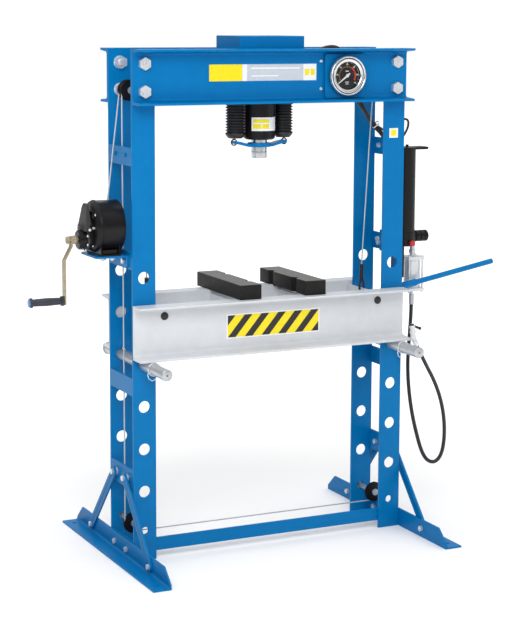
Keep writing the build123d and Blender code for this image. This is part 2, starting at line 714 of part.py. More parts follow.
# Axles: each with a head in front and a shoulder behind its pulleys; three are bolted through a wall
axles = (
    (-COLUMN_X, LEVEL_Y, LIFT_Y, TOP_PULLEY_Z, POST_Y - BEAM_NUT_H - 3, 0),
    (RIGHT_LIFT[0], RIGHT_LIFT[1], RIGHT_LIFT[1], TOP_PULLEY_Z, POST_FACE_Y, WEB_THICK),
    (-COLUMN_X, 0, 0, LOW_HOLE_Z, POST_Y, POST_THICK),
    (COLUMN_X, 0, 0, LOW_HOLE_Z, POST_Y, POST_THICK),
)
with BuildPart() as pulley_axles:
    for x, near, far, z, root_y, wall in axles:
        behind = root_y + wall
        front = near - PULLEY_W / 2 - 0.5
        shoulder = root_y - far - PULLEY_W / 2 - 0.5
        for start, length, radius in ((behind, behind - front, AXLE_R), (front, 5, AXLE_R + 5),
                                      (root_y, shoulder, AXLE_R + 1.5)):
            with BuildSketch(Plane.XZ.offset(-start)):
                with Locations((x, z)):
                    Circle(radius)
            extrude(amount=length)
        if wall:
            with BuildSketch(Plane.XZ.offset(-behind)):
                with Locations((x, z)):
                    RegularPolygon(radius=17, side_count=6, major_radius=False)
            extrude(amount=-10)
keep(pulley_axles, "pulley_axles")

# Ropes: the lift rope from the drum over the top, the levelling rope round three corners, and the bed's falls
rope_start = (-614, LIFT_Y, DRUM_Z)
top_z = TOP_PULLEY_Z + ROPE_RUN_R
low_z = LOW_HOLE_Z - ROPE_RUN_R
from_drum = (-COLUMN_X - rope_start[0], TOP_PULLEY_Z - DRUM_Z)
reach = hypot(*from_drum)
climb = atan2(from_drum[1], from_drum[0]) + atan2(ROPE_RUN_R, (reach**2 - ROPE_RUN_R**2) ** 0.5)
corner_x = rope_start[0] + (top_z - DRUM_Z) * cos(climb) / sin(climb)
right_x = RIGHT_LIFT[0] + ROPE_RUN_R
level_left_x = -COLUMN_X + ROPE_RUN_R
lift_route = [rope_start, (corner_x, LIFT_Y, top_z), (right_x, RIGHT_LIFT[1], top_z),
              (right_x, RIGHT_LIFT[1], TOP_PULLEY_Z)]
level_route = [(level_x, 0, LOW_HOLE_Z), (level_x, 0, low_z), (-level_x, 0, low_z),
               (-level_x, LEVEL_Y, top_z), (level_left_x, LEVEL_Y, top_z),
               (level_left_x, LEVEL_Y, TOP_PULLEY_Z)]
with BuildPart() as steel_ropes:
    add(hose(lift_route, ROPE_R, "lift_rope", [ROPE_RUN_R, ROPE_RUN_R - 1]))
    add(hose(level_route, ROPE_R, "level_rope", [ROPE_RUN_R - 1, ROPE_RUN_R, ROPE_RUN_R - 1, ROPE_RUN_R - 1]))
keep(steel_ropes, "steel_ropes")

falls = {
    "top_rope_falls": (((right_x, RIGHT_LIFT[1], TOP_PULLEY_Z), (*RIGHT_ANCHOR, SLEEVE_Z[1])),
                       ((level_left_x, LEVEL_Y, TOP_PULLEY_Z), (*LEFT_ANCHOR, SLEEVE_Z[1]))),
    "bottom_rope_fall": (((level_x, 0, LOW_HOLE_Z), (level_x, 0, LEVEL_ARM_Z - 14)),),
}
for name, pairs in falls.items():
    with BuildPart() as fall:
        for start, end in pairs:
            line = Vector(*end) - Vector(*start)
            with BuildSketch(Plane.XY.offset(start[2])):
                with Locations(start[:2]):
                    Circle(ROPE_R)
            extrude(amount=line.length, dir=line.normalized())
    keep(fall, name)

# Winch bracket: a leg bolted on the column's edge and a shelf
with BuildPart() as winch_bracket:
    with BuildSketch(Plane.YZ.offset(-OUTER_X)):
        with Locations((2, SHELF_Z - 24)):
            Rectangle(172, 48)
    extrude(amount=-FOOT_THICK)
    fillet(winch_bracket.edges().filter_by(Axis.X).group_by(Axis.Z)[0], 16)
    with BuildSketch(Plane.XY.offset(SHELF_Z)):
        with Locations((-(OUTER_X + 690) / 2, 2)):
            Rectangle(690 - OUTER_X, 172)
    extrude(amount=-FOOT_THICK)
    fillet(winch_bracket.edges().filter_by(Axis.Z).group_by(Axis.X)[0], 14)
    with BuildSketch(Plane.YZ.offset(-OUTER_X)):
        with Locations((-BRACKET_BOLT_Y, BRACKET_BOLT_Z), (BRACKET_BOLT_Y, BRACKET_BOLT_Z)):
            Circle(PLATE_BOLT[2])
    extrude(amount=-FOOT_THICK, mode=Mode.SUBTRACT)
keep(winch_bracket, "winch_bracket")

# Winch frame: a base and two cheeks that carry the drum's shaft and the crank's shaft
shaft_r = 9
cheek_x = (-668, -598)
cheek_thick = 6
with BuildPart() as winch_frame:
    with BuildSketch(Plane.XY.offset(SHELF_Z)):
        with Locations((sum(cheek_x) / 2 + cheek_thick / 2, 0)):
            Rectangle(cheek_x[1] - cheek_x[0] + cheek_thick, 150)
    extrude(amount=5)
    for x in cheek_x:
        with BuildSketch(Plane.YZ.offset(x)):
            with BuildLine():
                Polyline((-75, SHELF_Z), (75, SHELF_Z), (52, DRUM_Z + 22), (-52, DRUM_Z + 22), close=True)
            make_face()
            with Locations((0, DRUM_Z)):
                Circle(56)
            with Locations((0, DRUM_Z), (0, CRANK_Z)):
                Circle(shaft_r + RUNNING_GAP, mode=Mode.SUBTRACT)
        extrude(amount=cheek_thick)
    with BuildSketch(Plane.XY.offset(SHELF_Z - FOOT_THICK - 9)):
        with Locations((-650, -40), (-612, 40), (-650, 40), (-612, -40)):
            RegularPolygon(radius=9.5, side_count=6, major_radius=False)
    extrude(amount=9)
keep(winch_frame, "winch_frame")


def spur_gear(teeth, z, turn):
    """A spur gear with thinned teeth, so that a pair runs with backlash."""
    pitch_r = GEAR_MODULE * teeth / 2
    root = pitch_r - 1.3 * GEAR_MODULE
    tip = pitch_r + 0.8 * GEAR_MODULE
    step = radians(360 / teeth)
    flank = ((root - 1, -0.3), (pitch_r, -0.2), (tip, -0.1), (tip, 0.1), (pitch_r, 0.2), (root - 1, 0.3))
    with BuildPart() as wheel:
        with BuildSketch(Plane.YZ.offset(GEAR_X[0])):
            with Locations((0, z)):
                Circle(root)
            for tooth in range(teeth):
                middle = radians(turn) + tooth * step
                with BuildLine():
                    Polyline(*[(r * cos(middle + share * step), z + r * sin(middle + share * step))
                               for r, share in flank], close=True)
                make_face()
        extrude(amount=GEAR_X[1] - GEAR_X[0])
    return wheel.part


# Drum with its flanges, shaft and gear; the drum's gear meshes with the crank's pinion below it
with BuildPart() as rope_drum:
    with BuildSketch(Plane.YZ.offset(DRUM_X[0])):
        with Locations((0, DRUM_Z)):
            Circle(DRUM_R - 0.4)
    extrude(amount=DRUM_X[1] - DRUM_X[0])
    for x in (DRUM_X[0], DRUM_X[1] - 3):
        with BuildSketch(Plane.YZ.offset(x)):
            with Locations((0, DRUM_Z)):
                Circle(52)
        extrude(amount=3)
    with BuildSketch(Plane.YZ.offset(GEAR_X[0])):
        with Locations((0, DRUM_Z)):
            Circle(shaft_r)
    extrude(amount=cheek_x[1] + cheek_thick + 2 - GEAR_X[0])
    add(spur_gear(DRUM_TEETH, DRUM_Z, 90))
keep(rope_drum, "rope_drum")

arm_thick = 6
with BuildPart() as winch_crank:
    with BuildSketch(Plane.YZ.offset(HUB_X - 16)):
        with Locations((0, CRANK_Z)):
            Circle(shaft_r)
    extrude(amount=cheek_x[0] + cheek_thick + 1 - HUB_X + 16)
    add(spur_gear(PINION_TEETH, CRANK_Z, 90 + 180 / PINION_TEETH))
    with BuildSketch(Plane.YZ.offset(HUB_X - 14)):
        with Locations((0, CRANK_Z)):
            RegularPolygon(radius=13, side_count=6, major_radius=False)
    extrude(amount=8)
    with BuildSketch(Plane.YZ.offset(HUB_X + arm_thick)):
        with Locations((0, CRANK_Z)):
            Circle(16)
    extrude(amount=14)
    with BuildSketch(Plane.XZ.offset(-14)):
        with BuildLine():
            Polyline((HUB_X, CRANK_Z + 14), (HUB_X + arm_thick, CRANK_Z + 14),
                     (HUB_X + arm_thick, CRANK_Z - 22),
                     (HUB_X + arm_thick - CRANK_CRANKED, CRANK_Z - 72),
                     (HUB_X + arm_thick - CRANK_CRANKED, CRANK_Z - CRANK_ARM - 14),
                     (HUB_X - CRANK_CRANKED, CRANK_Z - CRANK_ARM - 14),
                     (HUB_X - CRANK_CRANKED, CRANK_Z - 74), (HUB_X, CRANK_Z - 24), close=True)
        make_face()
    extrude(amount=28)
    grip_face = HUB_X - CRANK_CRANKED
    with BuildSketch(Plane.YZ.offset(grip_face)):
        with Locations((0, CRANK_Z - CRANK_ARM)):
            Circle(6)
    extrude(amount=-GRIP_LENGTH - 4)
    with BuildSketch(Plane.YZ.offset(grip_face - GRIP_LENGTH - 1)):
        with Locations((0, CRANK_Z - CRANK_ARM)):
            Circle(9)
    extrude(amount=-3)
keep(winch_crank, "winch_crank")

grip_z = CRANK_Z - CRANK_ARM
with BuildPart() as crank_grip:
    with BuildSketch(Plane(origin=(grip_face - 0.5, 0, grip_z), x_dir=(-1, 0, 0), z_dir=(0, -1, 0))):
        with BuildLine():
            Polyline((0, 6.05), (0, GRIP_R + 3), (10, GRIP_R + 3), (12, GRIP_R - 2),
                     (GRIP_LENGTH / 2, GRIP_R), (GRIP_LENGTH - 12, GRIP_R - 2),
                     (GRIP_LENGTH - 10, GRIP_R + 3), (GRIP_LENGTH - 3, GRIP_R + 3),
                     (GRIP_LENGTH, GRIP_R), (GRIP_LENGTH, 6.05), close=True)
        make_face()
    revolve(axis=Axis((grip_face, 0, grip_z), (1, 0, 0)))
keep(crank_grip, "crank_grip")


def cover_form(inset):
    """The winch cover's form: straight sides, round over the drum, bevelled all round at its outer end."""
    low = SHELF_Z + 5
    straight = COVER_X[1] - COVER_X[0] - COVER_BEVEL
    with BuildPart() as form:
        for start, amount, taper in ((COVER_X[1], straight - inset, 0),
                                     (COVER_X[1] - straight + inset, COVER_BEVEL, 45)):
            with BuildSketch(Plane.YZ.offset(start)):
                with Locations((0, (low - 20 + DRUM_Z) / 2)):
                    Rectangle(2 * (COVER_R - inset), DRUM_Z - low + 20)
                with Locations((0, DRUM_Z)):
                    Circle(COVER_R - inset)
            extrude(amount=-amount, taper=taper)
        with BuildSketch(Plane.XY.offset(low)):
            with Locations((sum(COVER_X) / 2, 0)):
                Rectangle(4 * COVER_R, 4 * COVER_R)
        extrude(amount=-50, mode=Mode.SUBTRACT)
    return form.part


# Winch cover: sheet, open below and towards the column, with a slot for the rope and holes for the shafts
with BuildPart() as winch_cover:
    add(cover_form(0))
    add(cover_form(2), mode=Mode.SUBTRACT)
    with BuildSketch(Plane.YZ.offset(COVER_X[0])):
        with Locations((0, DRUM_Z), (0, CRANK_Z)):
            Circle(shaft_r + 2)
    extrude(amount=10, both=True, mode=Mode.SUBTRACT)
    with BuildSketch(Plane.XY.offset(DRUM_Z)):
        with Locations((COVER_X[1] - 16, LIFT_Y)):
            Rectangle(28, 18)
    extrude(amount=2 * COVER_R, mode=Mode.SUBTRACT)
keep(winch_cover, "winch_cover")

# Gear housing round the gears and the crank's shaft
with BuildPart() as gear_housing:
    with BuildSketch(Plane.YZ.offset(HOUSING_X[1])):
        with BuildLine():
            Polyline((-40, CRANK_Z - 10), (-24, CRANK_Z - 36), (24, CRANK_Z - 36), (40, CRANK_Z - 10),
                     (40, DRUM_Z), (-40, DRUM_Z), close=True)
        make_face()
        with Locations((0, DRUM_Z)):
            Circle(40)
    extrude(amount=-20)
    with BuildSketch(Plane.YZ.offset(HOUSING_X[1] - 20)):
        with Locations((0, CRANK_Z)):
            Circle(37)
    extrude(amount=HOUSING_X[0] - HOUSING_X[1] + 20)
    chamfer(gear_housing.faces().sort_by(Axis.X)[0].edges(), 5)
    with BuildSketch(Plane.YZ.offset(HOUSING_X[1])):
        with BuildLine():
            Polyline((-36, CRANK_Z - 10), (-22, CRANK_Z - 32), (22, CRANK_Z - 32), (36, CRANK_Z - 10),
                     (36, DRUM_Z), (-36, DRUM_Z), close=True)
        make_face()
        with Locations((0, DRUM_Z)):
            Circle(36)
    extrude(amount=-17, mode=Mode.SUBTRACT)
    with BuildSketch(Plane.YZ.offset(HOUSING_X[1])):
        with Locations((0, CRANK_Z)):
            Circle(shaft_r + RUNNING_GAP)
    extrude(amount=HOUSING_X[0] - HOUSING_X[1], mode=Mode.SUBTRACT)
keep(gear_housing, "gear_housing")

# Pump bracket: a plate on the right column's edge with two ears for the lever's shaft
pump_plate_y = (-96, 62)
ear_y = (-92, -52)  # front faces of the ears
ear_thick = 6
pivot_x, pivot_z = LEVER_PIVOT
lever_shaft_r = 7
with BuildPart() as pump_bracket:
    with BuildSketch(Plane.YZ.offset(OUTER_X)):
        with BuildLine():
            Polyline((pump_plate_y[0], pivot_z - 20), (pump_plate_y[1] - 92, pivot_z - 20),
                     (pump_plate_y[1] - 92, HEAD_Z[0] - 24), (pump_plate_y[1], HEAD_Z[0] - 24),
                     (pump_plate_y[1], HEAD_Z[1] + 6), (pump_plate_y[0], HEAD_Z[1] + 6), close=True)
        make_face()
        with Locations((-BRACKET_BOLT_Y, BRACKET_BOLT_Z), (BRACKET_BOLT_Y, BRACKET_BOLT_Z)):
            Circle(PLATE_BOLT[2], mode=Mode.SUBTRACT)
    extrude(amount=FOOT_THICK)
    for y in ear_y:
        with BuildSketch(Plane.XZ.offset(-y)):
            with BuildLine():
                Polyline((OUTER_X, pivot_z - 18), (pivot_x, pivot_z - 14), (pivot_x, pivot_z + 14),
                         (OUTER_X, pivot_z + 30), close=True)
            make_face()
            with Locations((pivot_x, pivot_z)):
                Circle(14)
                Circle(lever_shaft_r + RUNNING_GAP, mode=Mode.SUBTRACT)
        extrude(amount=-ear_thick)
keep(pump_bracket, "pump_bracket")

# Pump head: a block under the tank, the hand pump's cylinder below it and the valve barrel to the right
hand_x, hand_y = HAND_PUMP
hand_r = 17
hand_low_z = 985
plunger_r = 6
valve_z = 1143
with BuildPart() as pump_head:
    with BuildSketch(Plane.XY.offset(HEAD_Z[0])):
        with Locations((TANK_X, 0)):
            Circle(TANK_R + 3)
        with Locations(((OUTER_X + FOOT_THICK + TANK_X) / 2, 0)):
            Rectangle(TANK_X - OUTER_X - FOOT_THICK, 60)
    extrude(amount=HEAD_Z[1] - HEAD_Z[0])
    with BuildSketch(Plane.XY.offset(hand_low_z)):
        with Locations(HAND_PUMP):
            Circle(hand_r)
    extrude(amount=HEAD_Z[0] - hand_low_z)
    with BuildSketch(Plane(origin=(TANK_X, 0, valve_z), x_dir=(1, 0, 0), z_dir=(0, -1, 0))):
        with BuildLine():
            Polyline((0, 0), (0, 19), (49, 19), (49, 22.5), (66, 22.5), (66, 20), (70, 20), (70, 22.5),
                     (86, 22.5), (86, 20), (90, 20), (90, 22.5), (100, 22.5), (103, 19), (103, 0), close=True)
        make_face()
    revolve(axis=Axis((TANK_X, 0, valve_z), (1, 0, 0)))
    with BuildSketch(Plane.XY.offset(hand_low_z)):
        with Locations(HAND_PUMP):
            Circle(plunger_r + RUNNING_GAP)
    extrude(amount=110, mode=Mode.SUBTRACT)
    with BuildSketch(Plane.XZ.offset(7)):
        with Locations(KNOB):
            Circle(5 + RUNNING_GAP)
    extrude(amount=TANK_R, mode=Mode.SUBTRACT)
keep(pump_head, "pump_head")

# Oil tank with its flat lid
tank_low, tank_high = TANK_Z
with BuildPart() as oil_tank:
    with BuildSketch(Plane.XY.offset(tank_low)):
        with Locations((TANK_X, 0)):
            Circle(TANK_R)
    extrude(amount=tank_high - tank_low)
    with BuildSketch(Plane.XY.offset(tank_high)):
        with Locations((TANK_X, 0)):
            Circle(TANK_R + 2)
        with Locations((TANK_X + 44, 0)):
            Rectangle(88, 60)
    extrude(amount=10)
    with BuildSketch(Plane.XY.offset(tank_high + 10)):
        with Locations((TANK_X + 8, 0)):
            Circle(6)
    extrude(amount=9)
keep(oil_tank, "oil_tank")

# Release knob on the front of the head
with BuildPart() as release_knob:
    knob_face = TANK_R + 3.5
    for start, length, radius in ((8, knob_face - 8, 5), (knob_face, 5, 8), (knob_face + 5, 12, 11)):
        with BuildSketch(Plane.XZ.offset(start)):
            with Locations(KNOB):
                Circle(radius)
        extrude(amount=length)
    with BuildSketch(Plane.XZ.offset(knob_face + 5)):
        for turn in range(6):
            angle = pi / 3 * turn
            with Locations((KNOB[0] + 12.5 * cos(angle), KNOB[1] + 12.5 * sin(angle))):
                Circle(3)
    extrude(amount=12, mode=Mode.SUBTRACT)
keep(release_knob, "release_knob")

# Air motor: a cylinder between two square flanges, with four tie rods, a fitting above and a nipple below
air_low, air_high = AIR_Z
flange_h = 12
flange = 2 * AIR_R
nipple_z = air_low - 20
with BuildPart() as air_cylinder:
    for z in (air_low, air_high - flange_h):
        with BuildSketch(Plane.XY.offset(z)):
            with Locations((AIR_X, 0)):
                RectangleRounded(flange, flange, 8)
        extrude(amount=flange_h)
    with BuildSketch(Plane.XY.offset(air_low)):
        with Locations((AIR_X, 0)):
            Circle(AIR_R - 5)
    extrude(amount=air_high - air_low)
    with BuildSketch(Plane.XY.offset(air_low - 7)):
        for x in sides:
            for y in sides:
                with Locations((AIR_X + x * (AIR_R - 8), y * (AIR_R - 8))):
                    Circle(3.5)
    extrude(amount=air_high - air_low + 14)
    with BuildSketch(Plane.XY.offset(air_high)):
        with Locations((AIR_X, 0)):
            Circle(10)
    extrude(amount=HEAD_Z[0] - air_high)
    with BuildSketch(Plane.XY.offset(air_high + 12)):
        with Locations((AIR_X, 0)):
            RegularPolygon(radius=13, side_count=6, major_radius=False)
    extrude(amount=14)
    with BuildSketch(Plane.XY.offset(nipple_z)):
        with Locations((AIR_X, 0)):
            Circle(AIR_HOSE_R)
    extrude(amount=air_low - nipple_z)
keep(air_cylinder, "air_cylinder")

# Lever: a socket on its shaft, with a lug that lifts the plunger, and the tube pushed into the socket
tilt = radians(LEVER_TILT)
along = Vector(cos(tilt), 0, sin(tilt))
pivot = Vector(pivot_x, LEVER_Y, pivot_z)
lever_length = (LEVER_END_X - pivot_x) / cos(tilt)
lug_y = hand_y
with BuildPart() as lever_socket:
    with BuildSketch(Plane.XZ.offset(-ear_y[0] + 4)):
        with Locations(LEVER_PIVOT):
            Circle(lever_shaft_r)
    extrude(amount=ear_y[0] - 4 - (lug_y + 8))
    with BuildSketch(Plane.XZ.offset(-ear_y[0] - ear_thick - 0.5)):
        with Locations(LEVER_PIVOT):
            Circle(15)
    extrude(amount=ear_y[0] + ear_thick + 1 - ear_y[1])
    with BuildSketch(Plane(origin=pivot, z_dir=along)):
        Circle(LEVER_R + 3.5)
    extrude(amount=70)
    with BuildSketch(Plane(origin=pivot + along * 12, z_dir=along)):
        Circle(LEVER_R)
    extrude(amount=60, mode=Mode.SUBTRACT)
    with BuildSketch(Plane(origin=(pivot_x, lug_y + 8, pivot_z), x_dir=along, z_dir=(0, -1, 0))):
        with Locations(((hand_x - pivot_x) / 2, 0)):
            SlotCenterToCenter(hand_x - pivot_x, 14)
    extrude(amount=16)
keep(lever_socket, "lever_socket")

with BuildPart() as pump_lever:
    with BuildSketch(Plane(origin=pivot + along * LEVER_START, z_dir=along)):
        Circle(LEVER_R)
        Circle(LEVER_R - LEVER_WALL, mode=Mode.SUBTRACT)
    extrude(amount=lever_length - LEVER_START)
keep(pump_lever, "pump_lever")

# Plunger of the hand pump, lifted by the lug with a little play
lug_play = 1.8
plunger_low = pivot_z + (hand_x - pivot_x) * sin(tilt) + 7 + lug_play
with BuildPart() as pump_plunger:
    with BuildSketch(Plane.XY.offset(plunger_low)):
        with Locations(HAND_PUMP):
            Circle(plunger_r)
    extrude(amount=1065 - plunger_low)
keep(pump_plunger, "pump_plunger")

# Hoses held by the object: pressure hose from the head box to the pump head, and the thin line to the gauge
pressure_route = [
    (HEAD_BOX_X - SHEET, 0, 1856), (186, 4, 1859), (246, 14, 1874), (302, 24, 1892), (350, 32, 1890),
    (388, 38, 1858), (412, 42, 1796), (432, 45, 1738), (462, 47, 1672), (498, 47, 1622), (536, 44, 1584),
    (572, 38, 1560), (585, 32, 1500), (583, 26, 1400), (582, 18, 1290), (582, 18, HEAD_Z[1])]
gauge_route = [
    (GAUGE_X, plate_face, GAUGE_Z), (GAUGE_X, -96, GAUGE_Z), (GAUGE_X + 28, -52, 1770),
    (GAUGE_X + 70, -16, 1742), (405, 14, 1708), (445, 27, 1668), (482, 29, 1628), (517, 27, 1590),
    (556, 22, 1562), (598, 12, 1578), (630, 2, 1612), (652, -4, 1606), (646, -10, 1574), (618, -14, 1536),
    (588, -14, 1506), (583, -13, 1440), (582, -12, 1320), (582, -12, HEAD_Z[1])]
with BuildPart() as hydraulic_hoses:
    add(hose(pressure_route, HOSE_R, "pressure_hose"))
    add(hose(gauge_route, GAUGE_LINE_R, "gauge_line"))
keep(hydraulic_hoses, "hydraulic_hoses")

# Air hose: free from the air motor's nipple to its valve, which leans on the right support pin
valve_base = (574, -208, 762)
air_route = [
    (AIR_X, 0, nipple_z), (AIR_X, 0, 830), (AIR_X - 12, -8, 730), (AIR_X - 24, -18, 630),
    (AIR_X - 24, -30, 530), (AIR_X - 14, -42, 430), (AIR_X + 4, -54, 340), (AIR_X + 28, -66, 268),
    (AIR_X + 62, -80, 226), (AIR_X + 92, -94, 246), (AIR_X + 100, -106, 310), (AIR_X + 92, -120, 400),
    (AIR_X + 64, -140, 490), (AIR_X + 16, -166, 580), (AIR_X - 50, -190, 672), valve_base]
with BuildPart() as air_hose:
    add(hose(air_route, AIR_HOSE_R, "air_hose"))
keep(air_hose, "air_hose")

hose_end = (Vector(*valve_base) - Vector(*air_route[-2])).normalized()
with BuildPart() as air_valve:
    with BuildSketch(Plane(origin=valve_base, z_dir=hose_end)):
        Circle(AIR_HOSE_R + 2.5)
    extrude(amount=20)
    with BuildSketch(Plane(origin=Vector(*valve_base) + hose_end * 14, z_dir=(-0.12, 0, 1))):
        Circle(12)
    extrude(amount=58)
    with BuildSketch(Plane(origin=Vector(*valve_base) + Vector(-14, 0, 52), z_dir=(0.85, 0, -0.3))):
        Circle(5)
    extrude(amount=44)
keep(air_valve, "air_valve")
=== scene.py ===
"""A hydraulic workshop press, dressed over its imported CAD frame."""

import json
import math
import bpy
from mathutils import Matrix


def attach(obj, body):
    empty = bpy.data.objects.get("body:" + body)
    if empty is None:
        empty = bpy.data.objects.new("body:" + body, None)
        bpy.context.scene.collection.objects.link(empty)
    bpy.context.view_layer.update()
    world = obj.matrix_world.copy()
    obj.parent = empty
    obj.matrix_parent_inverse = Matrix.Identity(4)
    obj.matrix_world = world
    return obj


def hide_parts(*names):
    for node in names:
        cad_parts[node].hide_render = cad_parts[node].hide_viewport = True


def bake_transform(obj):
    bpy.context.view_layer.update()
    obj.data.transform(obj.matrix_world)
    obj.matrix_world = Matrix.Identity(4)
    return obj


bl_info = {
    "name": "Hydraulic Workshop Press",
    "version": (1, 0, 0),
    "blender": (4, 5, 0),
    "location": "3D View > Sidebar > Press",
    "description": "Paints and fits out the packed press",
    "category": "Object",
}

import bmesh
import bpy
from bpy.props import FloatProperty, FloatVectorProperty, IntProperty, PointerProperty
from bpy.types import Operator, Panel, PropertyGroup
from mathutils import Matrix, Vector

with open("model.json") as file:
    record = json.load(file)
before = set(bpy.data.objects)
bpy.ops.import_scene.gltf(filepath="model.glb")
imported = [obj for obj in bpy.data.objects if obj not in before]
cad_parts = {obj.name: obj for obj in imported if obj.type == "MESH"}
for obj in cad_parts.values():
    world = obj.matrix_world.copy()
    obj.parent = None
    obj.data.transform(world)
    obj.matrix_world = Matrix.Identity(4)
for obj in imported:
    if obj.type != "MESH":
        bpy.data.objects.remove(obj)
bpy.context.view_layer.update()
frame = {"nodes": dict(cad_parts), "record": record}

MM = 0.001
UP = (0, 0, 1)
DOWN = (0, 0, -1)
RIGHT = (1, 0, 0)
LEFT = (-1, 0, 0)
FRONT = (0, -1, 0)
BACK = (0, 1, 0)

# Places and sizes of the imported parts, in millimetres of the press's frame
OUTER_X = 565
PLATE_THICK = 8
COLUMN_X = 520
POST_FACE_Y = -120
POST_INNER_Y = 110
NUT_DEPTH = 22
BEAM_FACE_Y = -128.5
BEAM_BOLT_Z = (1738, 1838)
BED_FACE_Y = -129.5
BLOCK_TOP_Z = (1015.6, 1016.6)
GAUGE_X = 291
GAUGE_Z = 1788
DIAL_Y = -156.5
BEZEL_Y = -157
NEEDLE_Y = -158.6
BARREL_R = 60
RAM_R = 30
BELLOWS_X = 100
BELLOWS_Z = (1553, 1690)
SPRING_Z = (1580, 1676)
ROPE_ANCHOR_X = (-462, 450)
PUMP_TOP_Z = 1162
GEARS_X = -706
CRANK_Z = 1200
SHELF_BOTTOM_Z = 1136


def linear(red, green, blue):
    """A colour as a painter reads it off a chart, 0 to 255, turned into light."""
    shares = (value / 255 for value in (red, green, blue))
    return tuple(s / 12.92 if s <= 0.04045 else ((s + 0.055) / 1.055) ** 2.4 for s in shares)


def point(x, y, z):
    """A place in millimetres, as metres."""
    return Vector((x, y, z)) * MM


def plane(place, normal, across=None):
    """A flat place on the press: a point in millimetres, the way it faces, and the way its width runs."""
    normal = Vector(normal).normalized()
    if across is None:
        across = BACK if abs(normal.z) > 0.9 else Vector(UP).cross(normal)
    across = Vector(across)
    across = (across - normal * across.dot(normal)).normalized()
    turn = Matrix((across, normal.cross(across), normal)).transposed().to_4x4()
    return Matrix.Translation(point(*place)) @ turn


def add_object(name, data):
    """An object of the scene that shows this data."""
    made = bpy.data.objects.new(name, data)
    bpy.context.scene.collection.objects.link(made)
    return made


class Wire:
    """One output of a shader node, with the arithmetic that adds Math nodes."""

    def __init__(self, tree, socket):
        self.tree = tree
        self.socket = socket

    def node(self, kind, inputs=None, output=0, **settings):
        """Adds a node with its settings and the values or wires of its sockets."""
        made = self.tree.nodes.new(kind)
        for key, value in settings.items():
            setattr(made, key, value)
        for key, value in (inputs or {}).items():
            if isinstance(value, Wire):
                self.tree.links.new(value.socket, made.inputs[key])
            else:
                made.inputs[key].default_value = value
        return Wire(self.tree, made.outputs[output])

    def maths(self, operation, *values):
        """The result of a Math node on these values or wires."""
        return self.node("ShaderNodeMath", dict(enumerate(values)), operation=operation)

    def __add__(self, other):
        return self.maths("ADD", self, other)

    __radd__ = __add__

    def __sub__(self, other):
        return self.maths("SUBTRACT", self, other)

    def __rsub__(self, other):
        return self.maths("SUBTRACT", other, self)

    def __mul__(self, other):
        return self.maths("MULTIPLY", self, other)

    __rmul__ = __mul__

    def between(self, low, high):
        """0 below low, 1 above high, and an even climb from one to the other."""
        return self.node("ShaderNodeMapRange", {"Value": self, "From Min": low, "From Max": high})

    def along(self, direction):
        """How far this vector reaches along a direction."""
        return self.node("ShaderNodeVectorMath", {0: self, 1: direction}, "Value", operation="DOT_PRODUCT")

    def noise(self, scale, detail=2.0, roughness=0.5, stretch=(1, 1, 1)):
        """Cloudy noise over these coordinates, from about 0.3 to 0.7."""
        where = self
        if stretch != (1, 1, 1):
            where = self.node("ShaderNodeMapping", {"Vector": self, "Scale": stretch})
        inputs = {"Vector": where, "Scale": scale, "Detail": detail, "Roughness": roughness}
        return self.node("ShaderNodeTexNoise", inputs)

    def tint(self, first, second):
        """The first colour where this wire is 0 and the second where it is 1; a number is a grey."""
        inputs = {0: self}
        for key, colour in ((6, first), (7, second)):
            if isinstance(colour, float):
                colour = (colour,) * 3
            inputs[key] = colour if isinstance(colour, Wire) else (*colour, 1.0)
        return self.node("ShaderNodeMix", inputs, 2, data_type="RGBA")


def new_material(name, **values):
    """A material with one Principled shader; returns it, its shader and a wire of Object coordinates."""
    material = bpy.data.materials.new(name)
    material.use_nodes = True
    tree = material.node_tree
    tree.nodes.clear()
    shader = tree.nodes.new("ShaderNodeBsdfPrincipled")
    output = tree.nodes.new("ShaderNodeOutputMaterial")
    tree.links.new(shader.outputs["BSDF"], output.inputs["Surface"])
    for key, value in values.items():
        shader.inputs[key.replace("_", " ")].default_value = value
    coordinates = tree.nodes.new("ShaderNodeTexCoord")
    return material, shader, Wire(tree, coordinates.outputs["Object"])


def plug_in(shader, **wires):
    """Links wires to the shader's sockets; underscores stand for spaces."""
    for key, wire in wires.items():
        wire.tree.links.new(wire.socket, shader.inputs[key.replace("_", " ")])


def bump(height, strength, distance):
    """A bumped normal from a height wire; distance is in metres."""
    return height.node("ShaderNodeBump", {"Height": height, "Strength": strength, "Distance": distance})


def shade(colour, share):
    """A colour made darker or lighter by a share."""
    return tuple(value * share for value in colour)


def enamel(name, colour, roughness=0.36, coat=0.25, peel=0.16, gloss=0.5):
    """Sprayed paint on steel: faint orange peel, drifting tone, a little dust in the gloss."""
    material, shader, place = new_material(name, Coat_Roughness=0.18, Specular_IOR_Level=gloss)
    drift = place.noise(3.5, 3.0)
    cloud = place.noise(26.0, 4.0, 0.6)
    speck = place.noise(700.0, 1.0).between(0.66, 0.72)
    tone = (drift * 0.6 + cloud * 0.4).between(0.34, 0.66)
    base = tone.tint(shade(colour, 0.93), shade(colour, 1.06))
    plug_in(
        shader,
        Base_Color=(speck * 0.35).tint(base, shade(colour, 0.72)),
        Roughness=roughness + 0.16 * (cloud - 0.5) + 0.12 * speck,
        Coat_Weight=coat + 0.1 * (drift - 0.5),
        Normal=bump(place.noise(240.0, 2.0), peel, 0.0004),
    )
    return material


